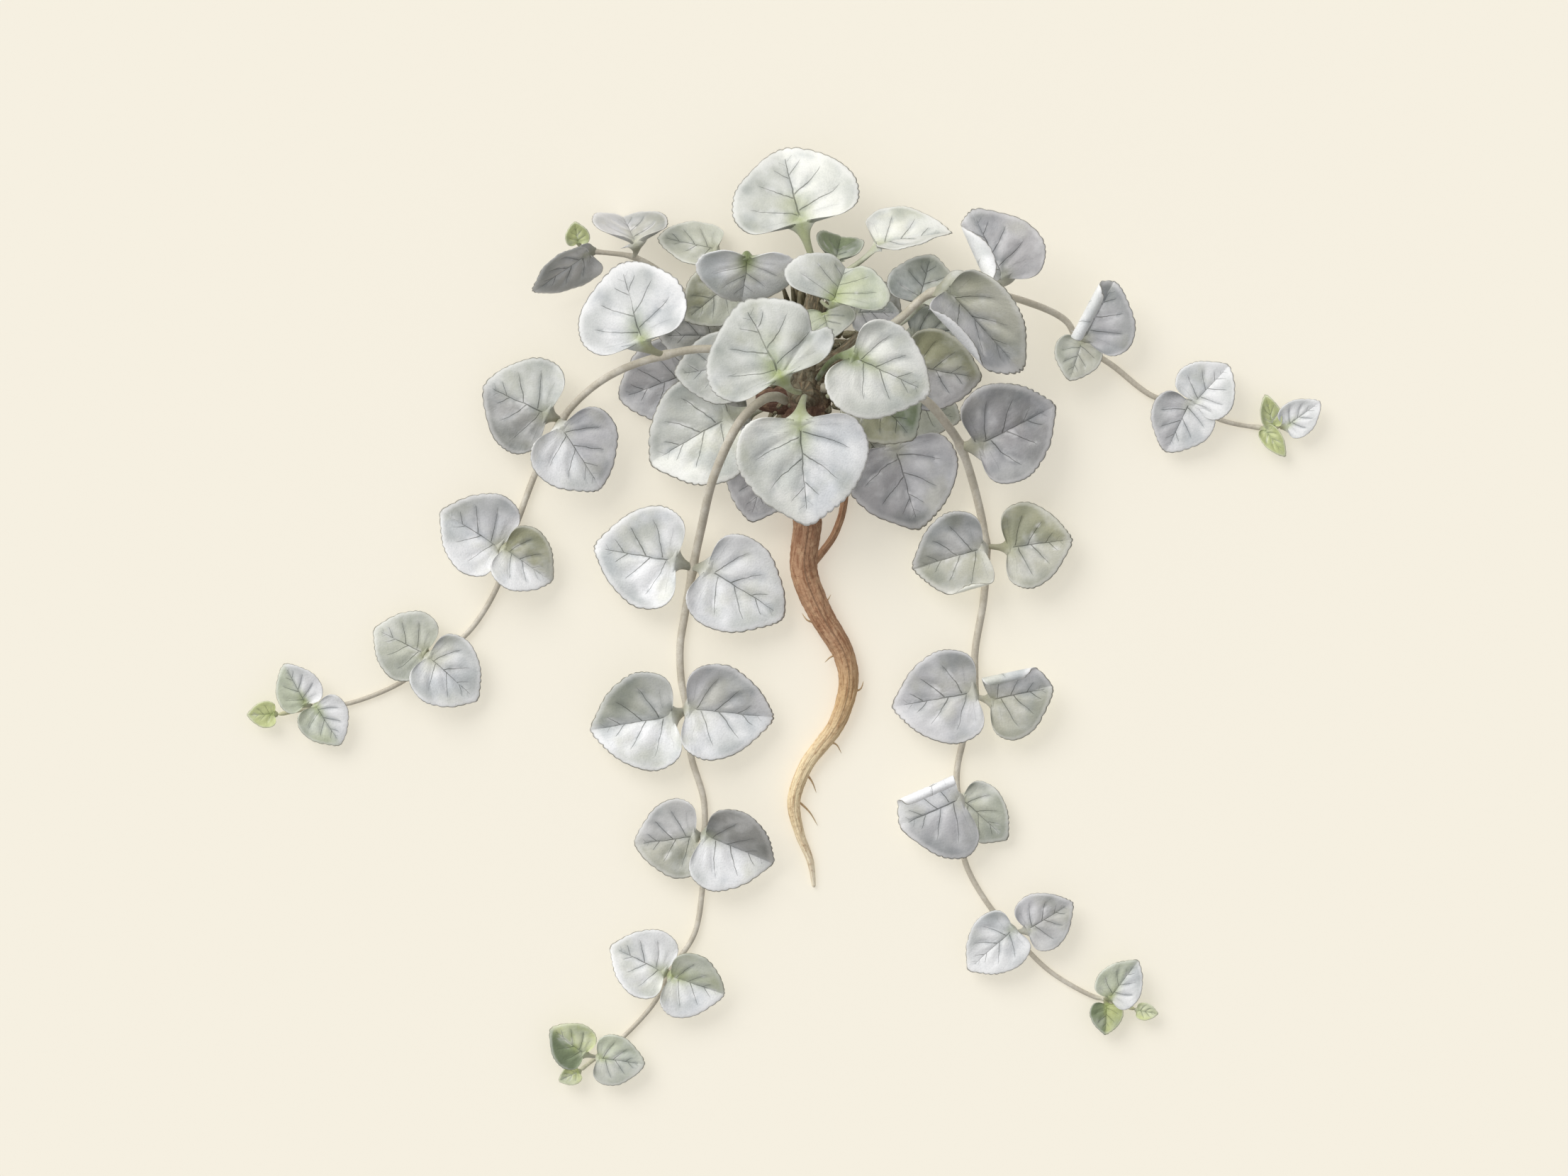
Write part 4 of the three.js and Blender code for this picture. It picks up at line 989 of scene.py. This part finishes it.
def vein_lines(finish, across, along):
    """How near each point of a unit blade lies to a vein: 1 on the line, 0 at a width that narrows along
    the vein. The second value is the same for a soft band beside the veins, where shade and highlights are
    painted."""
    size = finish.math("ABSOLUTE", across)
    narrowing = finish.scaled(along, -0.75 * MIDRIB_WIDTH / MIDRIB_END, MIDRIB_WIDTH)
    started = finish.between(along, MIDRIB_START - 0.04, MIDRIB_START + 0.02)
    ended = finish.less(finish.between(along, MIDRIB_END - 0.05, MIDRIB_END))
    middle = finish.times(started, ended)
    lines = finish.times(finish.fade(size, narrowing), middle)
    wash = finish.times(finish.fade(size, WASH_WIDTH), middle)
    for start, slope, curve, begin, end, strength in SIDE_VEINS:
        shifted = finish.scaled(finish.math("SIGN", across), VEIN_STAGGER, start)
        climb = finish.scaled(size, curve, slope)
        line = finish.scaled(size, climb, shifted)
        gap = finish.math("ABSOLUTE", finish.math("SUBTRACT", along, line))
        gap = finish.math("DIVIDE", gap, math.hypot(1, slope))
        left = finish.less(finish.math("DIVIDE", size, end))
        width = finish.scaled(left, VEIN_WIDTH * 0.7 * strength, VEIN_WIDTH * 0.3)
        shown = finish.times(finish.times(left, 7, clamp=True), strength)
        begun = finish.times(finish.math("SUBTRACT", size, begin - 0.01), 80, clamp=True)
        shown = finish.times(shown, begun)
        lines = finish.math("MAXIMUM", lines, finish.times(finish.fade(gap, width), shown))
        wash = finish.math("MAXIMUM", wash, finish.times(finish.fade(gap, WASH_WIDTH), shown))
    return finish.between(lines, 0.0, 0.8), finish.between(wash, 0.0, 1.0)


def leaf_felt():
    """Silvery felt: each leaf's own paint in soft washes, with grey vein lines, painted light and shade
    beside them, painted shade in the hollows, a painted highlight along the rim inside a broken brown margin
    line, a fine nap and a soft sheen."""
    finish = Finish("silver_felt", {"Roughness": 0.55, "Sheen Weight": 0.25, "Sheen Roughness": 0.4})
    paint = finish.attribute("paint", "Color")
    clouds = finish.noise(150, 5, 0.6)
    finish.colour = finish.mix(finish.between(clouds, 0.42, 0.66), paint, finish.mix(0.3, paint, PALE_WASH))
    finish.wash(finish.times(finish.patches("cool"), 0.6), COOL_WASH)
    finish.wash(finish.times(finish.patches("warm"), 0.6), WARM_WASH)
    grain, speckle = finish.speckles(2400, 0.4, 0.3)
    finish.wash(speckle, FELT_SPECKLE)
    u, v = finish.blade_place()
    sway = finish.scaled(finish.noise(240, 2), VEIN_SWAY, -0.5 - VEIN_SWAY / 2)
    drift = finish.noise(210, 3, 0.5, finish.shifted(5.3))
    drift = finish.scaled(drift, VEIN_DRIFT, -0.5 - VEIN_DRIFT / 2)
    veins, beside = vein_lines(finish, finish.math("ADD", u, sway), finish.math("ADD", v, drift))
    # Painted shade beside the veins
    shaded = finish.times(beside, finish.between(clouds, 0.35, 0.6))
    finish.wash(finish.times(shaded, 0.6), VEIN_SHADE)
    # Painted highlights beside the veins, in patches
    lit = finish.times(finish.times(beside, finish.patches("lit")), 0.7)
    finish.cover(lit, finish.mix(0.6, paint, PALE_WASH))
    rim = finish.attribute("rim", "Fac")
    # Painted shade in the hollow between the midrib and the rim, in patches
    hollow_shade = finish.times(finish.patches("hollow_shade"), finish.between(rim, 0.35, 0.85))
    finish.wash(finish.times(hollow_shade, 0.65), HOLLOW_SHADE)
    finish.wash(finish.times(veins, finish.scaled(finish.patches("faded vein"), 0.4, 0.5)), VEIN)
    # A painted highlight along the rim, where the margin is raised
    finish.cover(finish.times(finish.between(rim, 0.87, 0.96), 0.55), finish.mix(0.5, paint, RIM_HIGHLIGHT))
    line = finish.scaled(finish.patches("broken margin"), 0.55, 0.35)
    finish.wash(finish.times(finish.between(rim, 0.972, 0.998), line), MARGIN)
    finish.surface(finish.scaled(veins, -1.2, finish.math("ADD", grain, clouds)), 0.00012, 0.7)
    return finish.material


def stem_skin():
    """Matt tan stems with a fine down: the paint in soft patches, finely speckled."""
    finish = Finish("stem_skin", {"Roughness": 0.6, "Sheen Weight": 0.25})
    paint = finish.attribute("paint", "Color")
    patches = finish.noise(260, 3)
    finish.colour = finish.mix(finish.between(patches, 0.4, 0.7), paint, finish.mix(0.35, paint, STEM_PATCH))
    grain, speckle = finish.speckles(1800, 0.4, 0.35)
    finish.wash(speckle, STEM_SPECKLE)
    finish.surface(grain, 0.00008, 0.6)
    return finish.material


def root_bark():
    """Bark with streaks along the root, small cross cracks and scales, and the paint's brown to cream."""
    finish = Finish("root_bark", {"Roughness": 0.8})
    finish.colour = paint = finish.attribute("paint", "Color")
    around, along = finish.blade_place()
    streaks = finish.noise(1, 4, 0.65, finish.drawn_out(around, along, 5.0, 0.16))
    finish.wash(finish.times(finish.less(finish.between(streaks, 0.38, 0.56)), 0.8), STREAK)
    light = finish.noise(1, 3, 0.6, finish.drawn_out(around, along, 3.0, 0.35))
    finish.cover(finish.times(finish.between(light, 0.48, 0.7), 0.65), finish.mix(0.5, paint, PALE_BARK))
    scales, speckle = finish.speckles(900, 0.5, 0.5)
    finish.wash(speckle, SPECKLE)
    finish.surface(finish.math("ADD", streaks, scales), 0.0004, 0.8)
    return finish.material


def plain_floor():
    values = {"Base Color": (*linear(FLOOR_COLOUR), 1), "Roughness": 0.9, "Specular IOR Level": 0.1}
    finish = Finish("cream_floor", values)
    half, level = FLOOR_SIZE / 2, -FLOOR_DROP * MM
    mesh = bpy.data.meshes.new("floor")
    corners = [(-half, -half, level), (half, -half, level), (half, half, level), (-half, half, level)]
    mesh.from_pydata(corners, [], [(0, 1, 2, 3)])
    mesh.materials.append(finish.material)
    floor = bpy.data.objects.new("floor", mesh)
    bpy.context.scene.collection.objects.link(floor)


def soft_light():
    """Two broad suns from the upper left, of which one casts no shadow, over even light from the whole sky:
    the leaves keep their light and dark sides while the plant's own shadow on the floor stays faint."""
    direction = unit(np.array(SUN_FROM, float))
    for name, strength, casts in (("window", SUN_STRENGTH, True), ("window_fill", FILL_STRENGTH, False)):
        lamp = bpy.data.lights.new(name, "SUN")
        lamp.energy, lamp.angle, lamp.color = strength, math.radians(SUN_WIDTH), SUN_COLOUR
        lamp.use_shadow = casts
        window = bpy.data.objects.new(name, lamp)
        window.rotation_euler = (math.acos(direction[2]), 0, math.atan2(direction[0], -direction[1]))
        bpy.context.scene.collection.objects.link(window)
    world = bpy.data.worlds.new("sky")
    world.use_nodes = True
    world.node_tree.nodes["Background"].inputs[0].default_value = (*SKY_COLOUR, 1)
    world.node_tree.nodes["Background"].inputs[1].default_value = SKY_STRENGTH
    bpy.context.scene.world = world


def camera_above():
    """The camera looks straight down on the middle of the picture, with a long lens, so that one pixel
    shows the stated length at the height of the middle leaves."""
    camera = bpy.data.cameras.new("camera")
    camera.lens, camera.sensor_width, camera.clip_end = LENS, SENSOR, 10
    distance = LENS / SENSOR * PICTURE[0] * MM_PER_PIXEL
    middle_x = (PICTURE[0] / 2 - ORIGIN_PIXEL[0]) * MM_PER_PIXEL
    middle_y = (ORIGIN_PIXEL[1] - PICTURE[1] / 2) * MM_PER_PIXEL
    above = bpy.data.objects.new("camera", camera)
    above.location = np.array([middle_x, middle_y, distance + LEAF_HEIGHT]) * MM
    bpy.context.scene.collection.objects.link(above)
    bpy.context.scene.camera = above


felt, skin, bark = leaf_felt(), stem_skin(), root_bark()
for leaf_name, *leaf_row in CROWN_LEAVES:
    make_crown_leaf(leaf_name, leaf_row, [felt, skin])
for runner_name, runner_row in RUNNERS.items():
    make_runner(runner_name, *runner_row, [felt, skin])
make_rootstock(bark)
plain_floor()
soft_light()
camera_above()
bpy.context.scene.view_settings.view_transform = "Standard"
